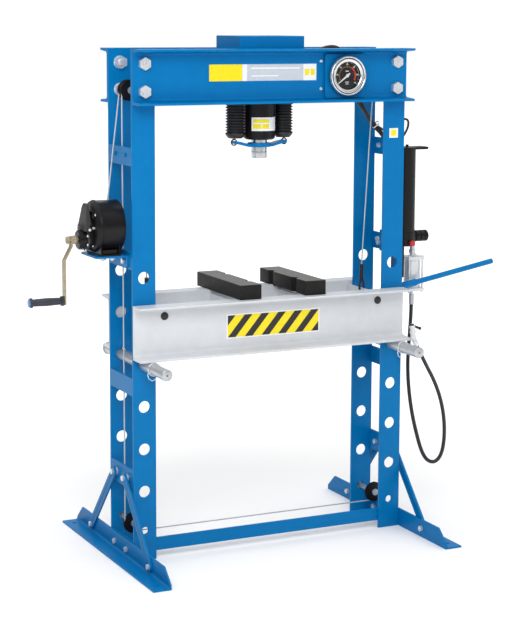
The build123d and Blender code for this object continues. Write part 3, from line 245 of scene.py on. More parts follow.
def plated(name, colour, roughness=0.3, stretch=(1, 1, 1), scale=90.0, depth=0.12, stain=0.16, metal=1.0):
    """Plated or machined steel: streaks along the tool's way and soft stains."""
    material, shader, place = new_material(name, Metallic=metal)
    streak = place.noise(scale, 4.0, 0.65, stretch)
    cloud = place.noise(38.0, 3.0, 0.6).between(0.36, 0.66)
    base = cloud.tint(shade(colour, 1.0 - stain), colour)
    plug_in(
        shader,
        Base_Color=streak.between(0.3, 0.7).tint(shade(colour, 0.9), base),
        Roughness=roughness + 0.22 * (streak - 0.5) + 0.1 * (1 - cloud),
        Normal=bump(streak, depth, 0.0002),
    )
    return material


def rubber(name, colour, roughness=0.55, grain=420.0, depth=0.25):
    """Moulded rubber or plastic: a fine grain and paler scuffs."""
    material, shader, place = new_material(name)
    cloud = place.noise(24.0, 4.0, 0.65)
    scuff = place.noise(160.0, 3.0, 0.7).between(0.6, 0.75)
    base = cloud.between(0.3, 0.7).tint(shade(colour, 0.8), colour)
    plug_in(
        shader,
        Base_Color=(scuff * 0.3).tint(base, shade(colour, 2.2)),
        Roughness=roughness + 0.2 * (cloud - 0.5) + 0.08 * scuff,
        Normal=bump(place.noise(grain, 2.0), depth, 0.0003),
    )
    return material


def blackened_steel(name, colour):
    """A forged block: dark scale on its sides, ground paler on its top."""
    material, shader, place = new_material(name, Metallic=0.55)
    side_top, ground_top = (height * MM for height in BLOCK_TOP_Z)
    upward = place.node("ShaderNodeSeparateXYZ", {0: place}, "Z").between(side_top, ground_top)
    scale = place.noise(70.0, 5.0, 0.65)
    ground = place.noise(30.0, 4.0, 0.6, (1, 14, 1))
    side = scale.between(0.35, 0.65).tint(shade(colour, 0.5), shade(colour, 0.95))
    top = ground.between(0.3, 0.7).tint(linear(74, 71, 69), linear(100, 97, 94))
    plug_in(
        shader,
        Base_Color=upward.tint(side, top),
        Roughness=0.55 + 0.3 * (scale - 0.5) - 0.08 * upward,
        Normal=bump(scale + ground * 0.4, 0.3, 0.0006),
    )
    return material


def stranded(name, colour):
    """Wire rope: slanting strands, with painted shade darkening the grooves between them."""
    material, shader, place = new_material(name, Metallic=0.45)
    slant = place.along((1.0, 0.55, 1.0))
    strand = slant.maths("SINE", slant * 2200.0) * 0.5 + 0.5
    # Base Color sinks to a darker grey where the strand bump sinks: painted shade in the grooves between
    # strands.
    plug_in(
        shader,
        Base_Color=strand.tint(shade(colour, 0.55), colour),
        Roughness=0.5 - 0.15 * strand,
        Normal=bump(strand, 0.6, 0.0006),
    )
    return material


def printed(name, colour, roughness=0.4):
    """A printed film or field of ink, with slight wear in its gloss."""
    material, shader, place = new_material(name)
    wear = place.noise(90.0, 4.0, 0.6)
    plug_in(
        shader,
        Base_Color=wear.between(0.25, 0.6).tint(shade(colour, 0.92), colour),
        Roughness=roughness + 0.2 * (wear - 0.5),
        Normal=bump(place.noise(300.0, 2.0), 0.05, 0.0002),
    )
    return material


def clear_glass(name, colour):
    """Thin gauge glass, seen through and softly shining."""
    material, shader, place = new_material(name, IOR=1.45, Base_Color=(*colour, 1.0))
    smear = place.noise(60.0, 3.0)
    plug_in(shader, Roughness=0.04 + 0.06 * (smear - 0.4), Alpha=0.09 + 0.04 * (smear - 0.5))
    return material


finishes = {}


def mix(make, name, colour, *roughness, **looks):
    """Makes one finish and keeps it under its name."""
    finishes[name] = make(name, linear(*colour), *roughness, **looks)


def mix_finishes(paints):
    """Every finish of the press under the name of its slot in the record, and the inks and films."""
    finishes["blue_paint"] = enamel("blue_paint", tuple(paints.frame), 0.36, coat=0.04, gloss=0.1)
    finishes["grey_paint"] = enamel("grey_paint", tuple(paints.bed), 0.45, coat=0.08, gloss=0.3)
    finishes["black_paint"] = enamel("black_paint", tuple(paints.fittings), 0.32, coat=0.12, gloss=0.16)
    # Winch grey also paints the gear hopper lighter than the black cover: painted light there.
    mix(enamel, "winch_grey", (58, 56, 57), 0.42, coat=0.05, gloss=0.3)
    mix(plated, "zinc", (196, 200, 203), 0.34, stretch=(6, 1, 6), scale=60.0, depth=0.06, stain=0.1,
        metal=0.7)
    mix(plated, "bright_zinc", (226, 230, 233), 0.26, depth=0.06, stain=0.08, metal=0.6)
    mix(plated, "yellow_zinc", (176, 164, 138), 0.32, scale=50.0, depth=0.1, stain=0.2, metal=0.6)
    mix(plated, "polished_steel", (196, 198, 201), 0.16, stretch=(1, 1, 30), scale=20.0, depth=0.04,
        stain=0.06)
    mix(plated, "aluminium", (228, 230, 232), 0.36, scale=130.0, depth=0.08, stain=0.06, metal=0.5)
    mix(plated, "chrome", (222, 224, 226), 0.14, scale=30.0, depth=0.02, stain=0.04, metal=0.9)
    mix(plated, "spring_steel", (150, 150, 150), 0.3)
    # Dark steel also paints the band round the ram, as painted shade, and the band in the bezel's groove, as
    # painted reflection.
    mix(plated, "dark_steel", (62, 62, 64), 0.4)
    mix(blackened_steel, "block_steel", (38, 36, 35))
    mix(stranded, "wire_rope", (214, 218, 222))
    mix(rubber, "rope_sleeve", (34, 34, 37), 0.5)
    mix(rubber, "black_rubber", (27, 27, 29), 0.42)
    mix(rubber, "air_hose_rubber", (33, 34, 37), 0.36, grain=500.0, depth=0.12)
    mix(rubber, "red_plastic", (196, 30, 32), 0.3, grain=300.0, depth=0.08)
    mix(rubber, "grip_plastic", (44, 48, 58), 0.42, grain=350.0, depth=0.3)
    mix(rubber, "tie_white", (232, 233, 233), 0.4, grain=200.0, depth=0.05)
    mix(clear_glass, "glass", (39, 41, 44))
    mix(printed, "dial_face", (22, 22, 25), 0.45)
    mix(printed, "needle", (240, 240, 236), 0.35)
    mix(printed, "cap_blue", (30, 110, 190), 0.3)
    mix(printed, "film_white", (238, 239, 240), 0.38)
    mix(printed, "film_yellow", (244, 222, 0), 0.36)
    mix(printed, "film_silver", (196, 203, 210), 0.32)
    mix(printed, "film_black", (26, 25, 27))
    mix(printed, "ink_white", (232, 232, 228), 0.5)
    mix(printed, "ink_ochre", (222, 170, 40), 0.5)
    mix(printed, "ink_red", (222, 66, 40), 0.5)


def ring_edges(ring):
    """The edges of a ring of vertices, each once and in a fixed order."""
    return list(dict.fromkeys(edge for vert in ring for edge in vert.link_edges))


class Shape:
    """A mesh being built in the press's frame, from profiles and outlines in millimetres."""

    def __init__(self):
        self.mesh = bmesh.new()
        self.paint = 0

    def _mark(self, known):
        """Gives the faces that aren't known yet the paint in use."""
        for face in self.mesh.faces:
            if face not in known:
                face.material_index = self.paint

    def lathe(self, profile, place, steps=32, closed=False, angle=math.tau):
        """Spins (radius, height) points round a place's normal; closed joins the last point to the first."""
        mesh = self.mesh
        known = set(mesh.faces)
        corners = [mesh.verts.new(place @ point(radius, 0, height)) for radius, height in profile]
        pairs = list(zip(corners, corners[1:]))
        if closed:
            pairs.append((corners[-1], corners[0]))
        edges = [mesh.edges.new(pair) for pair in pairs]
        whole = angle == math.tau
        made = bmesh.ops.spin(
            mesh, geom=corners + edges, cent=place.translation, axis=place.to_3x3() @ Vector(UP),
            angle=angle, steps=steps, use_merge=whole,
        )
        if closed and not whole:
            last = [part for part in made["geom_last"] if isinstance(part, bmesh.types.BMEdge)]
            for end in (edges, last):
                bmesh.ops.holes_fill(mesh, edges=end, sides=0)
        self._mark(known)

    def band(self, inner, outer, low, high, place, steps=32, angle=math.tau):
        """A ring of rectangular section round a place's normal, or a stretch of one."""
        self.lathe(((inner, low), (outer, low), (outer, high), (inner, high)), place, steps, True, angle)

    def slab(self, outline, place, depth):
        """Gives a flat outline a thickness along its place's normal."""
        mesh = self.mesh
        known = set(mesh.faces)
        face = mesh.faces.new([mesh.verts.new(place @ point(u, v, 0)) for u, v in outline])
        grown = bmesh.ops.extrude_face_region(mesh, geom=[face])["geom"]
        moved = [part for part in grown if isinstance(part, bmesh.types.BMVert)]
        bmesh.ops.translate(mesh, verts=moved, vec=place.to_3x3() @ point(0, 0, depth))
        self._mark(known)

    def plate(self, width, height, place, depth, middle=(0, 0)):
        """A rectangular slab round its middle."""
        left, right = middle[0] - width / 2, middle[0] + width / 2
        low, high = middle[1] - height / 2, middle[1] + height / 2
        self.slab(((left, low), (right, low), (right, high), (left, high)), place, depth)

    def hexagon(self, flats, place, depth):
        """A six-sided slab, by its width across the flats."""
        radius = flats / math.sqrt(3)
        turns = [math.pi / 3 * corner for corner in range(6)]
        self.slab([(radius * math.cos(a), radius * math.sin(a)) for a in turns], place, depth)

    def wire(self, points, radius, sides=10):
        """A bent round wire along points in millimetres, its ends closed."""
        mesh = self.mesh
        known = set(mesh.faces)
        places = [point(*p) for p in points]
        loops = []
        side = None
        for index, here in enumerate(places):
            before, after = places[max(index - 1, 0)], places[min(index + 1, len(places) - 1)]
            along = (after - before).normalized()
            if side is None:
                side = along.orthogonal()
            side = (side - along * side.dot(along)).normalized()
            turn = Matrix((side.cross(along), side, along)).transposed().to_4x4()
            ring = bmesh.ops.create_circle(
                mesh, segments=sides, radius=radius * MM, matrix=Matrix.Translation(here) @ turn
            )
            loops.append(ring_edges(ring["verts"]))
        for first, second in zip(loops, loops[1:]):
            bmesh.ops.bridge_loops(mesh, edges=first + second)
        bmesh.ops.holes_fill(mesh, edges=loops[0] + loops[-1], sides=0)
        self._mark(known)

    def close_holes(self):
        """Fills every open rim of the mesh."""
        rims = [edge for edge in self.mesh.edges if edge.is_boundary]
        bmesh.ops.holes_fill(self.mesh, edges=rims, sides=0)

    def done(self, name, coats, body="frame", replaces=(), sharp=38.0, bevel=0.0):
        """Makes the mesh a piece that rides on a body, with its finishes in the order given."""
        mesh = self.mesh
        coats = coats.split()
        bmesh.ops.remove_doubles(mesh, verts=mesh.verts, dist=1e-6)
        bmesh.ops.recalc_face_normals(mesh, faces=mesh.faces)
        for face in mesh.faces:
            face.smooth = True
        for edge in mesh.edges:
            edge.smooth = len(edge.link_faces) == 2 and edge.calc_face_angle(0.0) < math.radians(sharp)
        data = bpy.data.meshes.new(name)
        mesh.to_mesh(data)
        mesh.free()
        for coat in coats:
            data.materials.append(finishes[coat])
        piece = add_object(name, data)
        if bevel:
            round_edges(piece, bevel, 40)
            piece.modifiers.new("Shading", "WEIGHTED_NORMAL")
        if body:
            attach(piece, body)
        if replaces:
            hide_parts(*replaces)
        return piece


def round_edges(piece, width, corner):
    """Rounds the edges that turn by more than a corner in degrees; the width is in millimetres."""
    bevel = piece.modifiers.new("Edges", "BEVEL")
    bevel.width = width * MM
    bevel.segments = 2
    bevel.limit_method = "ANGLE"
    bevel.angle_limit = math.radians(corner)


def dress(name, material, edge=0.0):
    """Gives a CAD node its finish, smooth round its curves; edge rounds its corners, in millimetres."""
    piece = frame["nodes"][name]
    mesh = piece.data
    mesh.materials.clear()
    mesh.materials.append(material)
    if "custom_normal" in mesh.attributes:
        mesh.attributes.remove(mesh.attributes["custom_normal"])
    mesh.polygons.foreach_set("use_smooth", [True] * len(mesh.polygons))
    weld = piece.modifiers.new("Weld", "WELD")
    weld.merge_threshold = 1e-5
    if edge:
        round_edges(piece, edge, 50)
    split = piece.modifiers.new("Corners", "EDGE_SPLIT")
    split.split_angle = math.radians(48)
    piece.modifiers.new("Shading", "WEIGHTED_NORMAL")


def tube_along(name, route, radius, coat, node):
    """A hose in place of a node, as a smooth NURBS curve through its route, points in millimetres."""
    curve = bpy.data.curves.new(name, "CURVE")
    curve.dimensions = "3D"
    curve.bevel_depth = radius * MM
    curve.bevel_resolution = 5
    curve.use_fill_caps = True
    curve.resolution_u = 10
    line = curve.splines.new("NURBS")
    line.points.add(len(route) - 1)
    for control, place in zip(line.points, route):
        control.co = (*point(*place), 1.0)
    line.order_u = 3
    line.use_endpoint_u = True
    curve.materials.append(finishes[coat])
    piece = add_object(name, curve)
    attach(piece, "frame")
    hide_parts(node)
    return piece


def dome_screw(shape, place, radius, height, socket=True):
    """A low domed screw head, with a hexagon socket or without."""
    inner = radius * 0.42
    profile = [
        (0, 0), (radius, 0), (radius * 0.97, height * 0.45), (radius * 0.75, height * 0.85),
        (inner * 1.25, height),
    ]
    if socket:
        profile += [(inner, height * 0.9), (inner * 0.95, height * 0.35), (0, height * 0.3)]
    else:
        profile += [(0, height)]
    shape.lathe(profile, place, 20)


def bolt_head(shape, place, flats, height, washer, washer_height):
    """A hexagon head on its round washer."""
    shape.lathe([(0, 0), (washer, 0), (washer, washer_height), (0, washer_height)], place, 20)
    shape.hexagon(flats, place, height)


class PressCamera(PropertyGroup):
    spot: FloatVectorProperty(
        name="Spot", description="Where the camera stands", default=(-2.8788, -5.9914, 2.0071), unit="LENGTH"
    )
    heading: FloatProperty(
        name="Heading", description="Turn from the front", default=math.radians(-25.791), unit="ROTATION"
    )
    fall: FloatProperty(
        name="Fall", description="How far the view looks down", default=math.radians(7.918), unit="ROTATION"
    )
    roll: FloatProperty(
        name="Roll", description="How far the camera leans", default=math.radians(0.266), unit="ROTATION"
    )
    lens: FloatProperty(name="Lens", description="Focal length on 36 mm", default=98.178, unit="CAMERA")
    lift: FloatProperty(name="Lift", description="Vertical shift of the frame", default=-0.0950)


class PressStage(PropertyGroup):
    floor_tone: FloatVectorProperty(
        name="Floor tone", description="Colour of the studio floor", default=(0.9, 0.9, 0.9), subtype="COLOR"
    )
    floor_glow: FloatVectorProperty(
        name="Floor glow", description="Light of the floor, near and far", default=(0.04, 0.42), size=2
    )
    wall: FloatProperty(name="Wall", description="Tone of the wall behind", default=0.5)
    flags: FloatProperty(name="Flags", description="Tone of the screens at both sides", default=0.12)
    room: FloatProperty(name="Room", description="Tone of the room in front", default=0.12)
    roof: FloatProperty(name="Roof", description="Tone of the roof of light", default=1.5)
    key: FloatProperty(name="Key light", description="Power of the large soft light", default=112.0)
    fill: FloatProperty(name="Fill lights", description="Power of the two weaker lights", default=20.0)


class PressPaint(PropertyGroup):
    frame: FloatVectorProperty(
        name="Frame", description="Paint of frame and lever", default=linear(0, 112, 174), subtype="COLOR"
    )
    bed: FloatVectorProperty(
        name="Bed", description="Paint of the bed", default=linear(206, 209, 213), subtype="COLOR"
    )
    fittings: FloatVectorProperty(
        name="Fittings", description="Paint of barrel and winch", default=linear(20, 19, 21), subtype="COLOR"
    )


class PressBellows(PropertyGroup):
    folds: IntProperty(name="Folds", description="Folds in each rubber sleeve", default=11, min=3)
    valley: FloatProperty(name="Valley", description="Radius in a fold, in mm", default=31.0, min=5.0)
    peak: FloatProperty(name="Peak", description="Radius on a fold, in mm", default=38.0, min=5.0)
    coils: IntProperty(name="Coils", description="Turns of each spring", default=16, min=4)


class PressHoses(PropertyGroup):
    pressure: FloatProperty(name="Pressure hose", description="Its radius in mm", default=9.0, min=1.0)
    gauge: FloatProperty(name="Gauge line", description="Its radius in mm", default=4.5, min=1.0)
    air: FloatProperty(name="Air hose", description="Its radius in mm", default=7.5, min=1.0)
    rope: FloatProperty(name="Rope", description="Its radius in mm", default=2.5, min=0.5)


class PressPrint(PropertyGroup):
    sweep: FloatProperty(
        name="Sweep", description="Angle of the dial's scale", default=math.radians(256), unit="ROTATION"
    )
    ticks: IntProperty(name="Ticks", description="Fine steps on the dial", default=60, min=6)
    figures: IntProperty(name="Figures", description="Numbers after nought", default=6, min=2)
    stripe: FloatProperty(name="Stripe", description="Pitch of the black stripes, in mm", default=70.0)
    lean: FloatProperty(name="Lean", description="Lean over its height, in mm", default=70.0)


class PlaceCamera(Operator):
    """Sets the camera at the angle the press is seen from."""

    bl_idname = "press.camera"
    bl_label = "Place Camera"

    def execute(self, context):
        view = context.scene.press_camera
        ahead = Vector((
            -math.sin(view.heading) * math.cos(view.fall),
            math.cos(view.heading) * math.cos(view.fall),
            -math.sin(view.fall),
        ))
        level = Vector((math.cos(view.heading), math.sin(view.heading), 0))
        side = Matrix.Rotation(-view.roll, 3, ahead) @ level
        over = side.cross(ahead)
        data = bpy.data.cameras.new("press_camera")
        data.lens = view.lens
        data.shift_y = view.lift
        camera = add_object("press_camera", data)
        turn = Matrix((side, over, -ahead)).transposed().to_4x4()
        camera.matrix_world = Matrix.Translation(Vector(view.spot)) @ turn
        context.scene.camera = camera
        return {"FINISHED"}


class MixFinishes(Operator):
    """Mixes the paints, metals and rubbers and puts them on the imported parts."""

    bl_idname = "press.finishes"
    bl_label = "Paint the Press"

    def execute(self, context):
        mix_finishes(context.scene.press_paint)
        edges = {
            "blue_paint": 0.7, "grey_paint": 0.9, "black_paint": 0.4, "block_steel": 0.8, "bright_zinc": 0.5,
            "yellow_zinc": 0.6,
        }
        unrounded = {"rope_drum", "pin_clips", "spring_hooks", "gauge_case", "winch_cover", "cylinder_barrel"}
        darker = {"spring_hooks": "dark_steel", "winch_frame": "black_paint"}
        for part in frame["record"]["subparts"]:
            node, slot = part["node"], part["material_slot"]
            finish = finishes[darker.get(node, slot)]
            dress(node, finish, 0.0 if node in unrounded else edges.get(slot, 0.0))
        return {"FINISHED"}


class FitAirHose(Operator):
    """Hangs the free air hose from the air motor and gives it its crimp and its valve."""

    bl_idname = "press.air_hose"
    bl_label = "Air Hose"

    def execute(self, context):
        radius = context.scene.press_hoses.air
        route = (
            (680, 0, 905), (680, 0, 830), (668, -8, 730), (656, -18, 630), (656, -30, 530), (666, -42, 430),
            (684, -54, 340), (700, -64, 276), (722, -73, 236), (752, -85, 228), (774, -96, 258),
            (781, -106, 318), (772, -120, 400), (744, -140, 490), (696, -166, 580), (630, -190, 672),
            (574, -208, 762),
        )
        cord = tube_along("air_hose_line", route, radius, "air_hose_rubber", "air_hose")
        crimp = Shape()
        outer, waist, pitch = 10.5, 9.4, 8
        rings = [(radius + 0.2, -4), (outer, -4)]
        for ring in range(4):
            low = 2 + ring * pitch
            rings += [(outer, low), (waist, low + 1.5), (waist, low + 4), (outer, low + 5.5)]
        rings += [(10.2, 36), (radius + 0.1, 38)]
        crimp.lathe(rings, plane(route[0], DOWN), 28, closed=True)
        crimp.done("air_hose_crimp", "zinc")

        end = Vector(route[-1])
        along = (end - Vector(route[-2])).normalized()
        body = Shape()
        tail = [
            (radius + 0.1, -22), (9.8, -20), (9.8, 6), (8.6, 8), (8.6, 12), (11, 12), (11, 22), (7, 24),
            (0, 24),
        ]
        body.lathe(tail, plane(end - along * 4, along), 24)
        body.hexagon(20, plane(end + along * 8, along), 9)
        upright = Vector((-0.12, 0, 1)).normalized()
        foot = end + along * 14
        stem = [
            (0, -9), (9, -8), (11.5, -5), (11.5, 4), (10.2, 5), (10.2, 17), (12, 18.5), (12, 27), (10, 28.5),
            (10, 38), (11.5, 40), (11.5, 47), (8, 50), (6, 51), (6, 57), (0, 58),
        ]
        body.lathe(stem, plane(foot, upright), 28)
        valve = body.done("air_valve_body", "aluminium", replaces=("air_valve",))
        handle = Shape()
        top = foot + upright * 50
        arm = [(0, -15), (4.2, -14), (5, -11), (5, 30), (6.2, 33), (6.2, 38), (4, 40), (0, 40)]
        handle.lathe(arm, plane(top, (0.85, -0.1, -0.35)), 20)
        boss = [(0, -4), (7, -3), (7.6, 0), (7.6, 7), (6, 9), (0, 9.5)]
        handle.lathe(boss, plane(top - upright * 2, upright), 24)
        grip = handle.done("air_valve_handle", "black_rubber")
        return {"FINISHED"}


class FitPressureHoses(Operator):
    """Runs the pressure hose and the gauge's thin line with their crimps, nuts and tie."""

    bl_idname = "press.hoses"
    bl_label = "Pressure Hoses"

    def execute(self, context):
        sizes = context.scene.press_hoses
        pressure = (
            (129, 0, 1856), (186, 4, 1859), (246, 14, 1874), (302, 24, 1892), (350, 32, 1890),
            (388, 38, 1858), (412, 42, 1796), (432, 45, 1738), (462, 47, 1672), (496, 47, 1620),
            (528, 44, 1578), (562, 38, 1546), (583, 32, 1494), (583, 26, 1400), (582, 18, 1290),
            (582, 18, PUMP_TOP_Z),
        )
        thin = (
            (GAUGE_X, -140, GAUGE_Z), (GAUGE_X, -96, GAUGE_Z), (319, -52, 1770), (361, -16, 1742),
            (405, 14, 1708), (445, 27, 1668), (482, 29, 1628), (517, 27, 1590), (556, 22, 1562),
            (598, 12, 1578), (630, 2, 1612), (652, -4, 1606), (646, -10, 1574), (618, -14, 1536),
            (588, -14, 1506), (583, -13, 1440), (582, -12, 1320), (582, -12, PUMP_TOP_Z),
        )
        tube_along("pressure_hose", pressure, sizes.pressure, "black_rubber", "hydraulic_hoses")
        tube_along("gauge_line", thin, sizes.gauge, "black_rubber", "hydraulic_hoses")
        crimps = (
            ((133, 0, 1856), RIGHT, sizes.pressure, 34), (pressure[-1], UP, sizes.pressure, 44),
            (thin[-1], UP, sizes.gauge, 30), ((GAUGE_X, -120, GAUGE_Z), BACK, sizes.gauge, 18),
        )
        ends = Shape()
        for place, direction, radius, length in crimps:
            here = plane(place, direction)
            outer = radius + 2.6
            neck = outer - 0.9
            profile = [
                (radius, 0), (outer, 0), (outer, length * 0.72), (neck, length * 0.75), (neck, length * 0.8),
                (outer, length * 0.84), (outer, length - 2), (radius + 0.1, length),
            ]
            ends.lathe(profile, here, 24, closed=True)
            ends.hexagon(2 * outer + 3, here, length * 0.32)
        ends.done("hose_crimps", "zinc", bevel=0.3)
        tie = Shape()
        tie.band(16.2, 18, -2.4, 2.4, plane((527, 37, 1589), (0.76, -0.1, -0.64)), 28)
        tie.plate(7, 9, plane((527, 19, 1589), FRONT), 5)
        tie.plate(2.6, 30, plane((541, 17, 1578), FRONT, (-0.5, 0, -0.8)), 1.2)
        tie.done("hose_tie", "tie_white", bevel=0.3)
        return {"FINISHED"}


class FitBellows(Operator):
    """Folds the rubber sleeves over the return springs and lays a thin dark band round the ram, painted shade
    for its groove line.
    """

    bl_idname = "press.bellows"
    bl_label = "Bellows and Springs"

    def execute(self, context):
        sizes = context.scene.press_bellows
        low, high = BELLOWS_Z
        cuff = low + 19
        pitch = (high - cuff) / sizes.folds
        middle, reach = (sizes.peak + sizes.valley) / 2, (sizes.peak - sizes.valley) / 2
        inner = sizes.valley - 3
        steps_a_fold = 8
        sleeve = []
        for step in range(sizes.folds * steps_a_fold + 1):
            swing = math.cos(math.tau * step / steps_a_fold)
            radius = middle + reach * math.copysign(abs(swing) ** 0.7, swing)
            sleeve.append((radius, high - pitch * step / steps_a_fold))
        sleeve += [
            (sizes.peak, cuff - 3), (sizes.peak - 2, cuff - 7), (33, cuff - 12), (28, cuff - 17), (27, low),
            (22, low), (22, cuff), (inner, cuff + 6), (inner, high),
        ]
        rubbers = Shape()
        coils = Shape()
        bottom, top = SPRING_Z
        coil_r, wire_r = 15, 2.6
        steps = sizes.coils * 20
        for x in (-BELLOWS_X, BELLOWS_X):
            rubbers.lathe(sleeve, plane((x, 0, 0), UP), 40, closed=True)
            start = Matrix.Translation(point(x + coil_r, 0, bottom)) @ Matrix.Rotation(math.pi / 2, 4, "X")
            wire = bmesh.ops.create_circle(coils.mesh, segments=8, radius=wire_r * MM, matrix=start)
            bmesh.ops.spin(
                coils.mesh, geom=wire["verts"] + ring_edges(wire["verts"]), cent=point(x, 0, bottom),
                axis=Vector(UP), angle=math.tau * sizes.coils, steps=steps,
                dvec=point(0, 0, (top - bottom) / steps),
            )
        coils.close_holes()
        sleeves = rubbers.done("bellows_rubber", "black_rubber", None, replaces=("bellows",), sharp=60)
        springs = coils.done("spring_coils", "spring_steel", None, replaces=("return_springs",))
        for piece in (sleeves, springs):
            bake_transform(piece)
        # A thin dark band laid on the ram, not cut into it: painted shade for the shade in the ram's groove
        # line.
        painted_shade = Shape()
        painted_shade.band(RAM_R - 0.2, RAM_R + 0.12, 0, 1.4, plane((0, 0, 1499), UP), 64)
        painted_shade.done("ram_painted_shade", "dark_steel", "ram_group")
        return {"FINISHED"}


class FitRopes(Operator):
    """Draws the rope falls between the pulleys and the bed."""

    bl_idname = "press.ropes"
    bl_label = "Rope Falls"

    def execute(self, context):
        radius = context.scene.press_hoses.rope
        left, right = ROPE_ANCHOR_X
        falls = (
            ("bed_falls", "top_rope_falls",
             (((498, 12, 1738), (right, 0, 1044)), ((-487, 8, 1738), (left, 0, 1044)))),
            ("level_fall", "bottom_rope_fall", (((553, 0, 113), (553, 0, 786)),)),
        )
        steps = 24
        for name, node, runs in falls:
            rope = Shape()
            for start, end in runs:
                points = [Vector(start).lerp(Vector(end), step / steps) for step in range(steps + 1)]
                rope.wire(points, radius)
            piece = rope.done(name, "wire_rope", None, replaces=(node,), sharp=60)
            start, end = runs[0]
            start[2] * MM
            end[2] * MM
            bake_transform(piece)
        ferrules = Shape()
        for x in ROPE_ANCHOR_X:
            here = plane((x, 0, 1020), UP)
            ferrules.lathe([(3, 0), (6.4, 0), (6.4, 22), (5.4, 24), (2.6, 24)], here, 16, closed=True)
            ferrules.lathe([(3, -20), (5.6, -20), (5.6, -6), (4.8, -4), (2.6, -4)], here, 16, closed=True)
        ferrules.done("rope_ferrules", "aluminium", "bed")
        return {"FINISHED"}


class PrintDial(Operator):
    """Prints the gauge's scale, numbers and coloured arcs and adds its ring and the needle's hub."""

    bl_idname = "press.dial"
    bl_label = "Gauge Dial"

    def execute(self, context):
        prints = context.scene.press_print
        half = prints.sweep / 2
        dial = (GAUGE_X, DIAL_Y, GAUGE_Z)
        white, ochre, red = range(3)
        marks = Shape()

        def tick(share, radius, length, width, ink):
            """A mark at a share of the scale."""
            turn = -half + prints.sweep * share
            marks.paint = ink
            here = plane(dial, FRONT, (math.cos(turn), 0, -math.sin(turn)))
            marks.plate(width, length, here, 0.35, (0, radius))

        major = prints.ticks // prints.figures
        for step in range(prints.ticks + 1):
            share = step / prints.ticks
            if step % major == 0:
                tick(share, 49.5, 6, 2.0, white)
            elif step % (major // 2) == 0:
                tick(share, 50, 5, 1.4, white)
            else:
                tick(share, 50.8, 3, 0.8, white)
            if step % 2 == 0 and share < 0.62:
                tick(share, 33.5, 4 if step % major else 6, 1.4, ochre)
        marks.paint = red
        turn = math.radians(120)
        arc = plane(dial, FRONT, (math.sin(turn), 0, math.cos(turn)))
        marks.band(32, 37.5, 0, 0.35, arc, 30, math.radians(90))
        marks.paint = white
        flat = plane(dial, FRONT)
        for width, height, v in ((13, 3.5, 17), (16, 3, -24), (12, 3, -31)):
            marks.plate(width, height, flat, 0.3, (0, v))
        marks.done("dial_print", "ink_white ink_ochre ink_red")

        figures = Shape()
        figures_r = 42.5
        for figure in range(prints.figures + 1):
            turn = -half + prints.sweep * figure / prints.figures
            words = bpy.data.curves.new("figure", "FONT")
            words.body = str(figure * 10)
            words.size = 8.5 * MM
            words.align_x = "CENTER"
            words.align_y = "CENTER"
            words.extrude = 0.15 * MM
            words.offset = 0.25 * MM
            holder = add_object("figure", words)
            context.view_layer.update()
            written = bpy.data.meshes.new_from_object(holder.evaluated_get(context.evaluated_depsgraph_get()))
            middle = Matrix.Translation(point(figures_r * math.sin(turn), figures_r * math.cos(turn), 0.2))
            written.transform(flat @ middle)
            figures.mesh.from_mesh(written)
            bpy.data.objects.remove(holder)
            bpy.data.meshes.remove(written)
        figures.done("dial_numbers", "ink_white", sharp=30)

        ring = Shape()
        front = plane((GAUGE_X, BEZEL_Y, GAUGE_Z), FRONT)
        glass = 9.1
        rim = [
            (71.2, 0.2), (75, 0.2), (75, 11), (74, 14), (71.5, 15.3), (68.8, 14.6), (67, 12.4), (66.4, glass),
            (71.2, glass),
        ]
        inner_rim = [(64, glass), (64, 12), (62.5, 12.8), (60, 12.2), (54, 9.8), (53, glass)]
        ring.lathe(rim, front, 72, closed=True)
        ring.lathe(inner_rim, front, 72, closed=True)
        # The dark steel band laid in the bezel's groove is painted reflection: it stands in for the dark that
        # the groove reflects, not for another metal.
        ring.paint = 1
        ring.band(63.8, 66.6, glass - 0.05, 10.2, front, 72)
        ring.done("bezel_ring", "chrome dark_steel", replaces=("gauge_bezel",), sharp=60)

        hub = Shape()
        profile = [(0, 0), (6.5, 0), (6.5, 1.6), (5, 2.4), (2, 2.6), (0, 2.7)]
        hub.lathe(profile, plane((GAUGE_X, NEEDLE_Y, GAUGE_Z), FRONT), 28)
        hub.done("needle_hub", "needle", "needle")
        return {"FINISHED"}


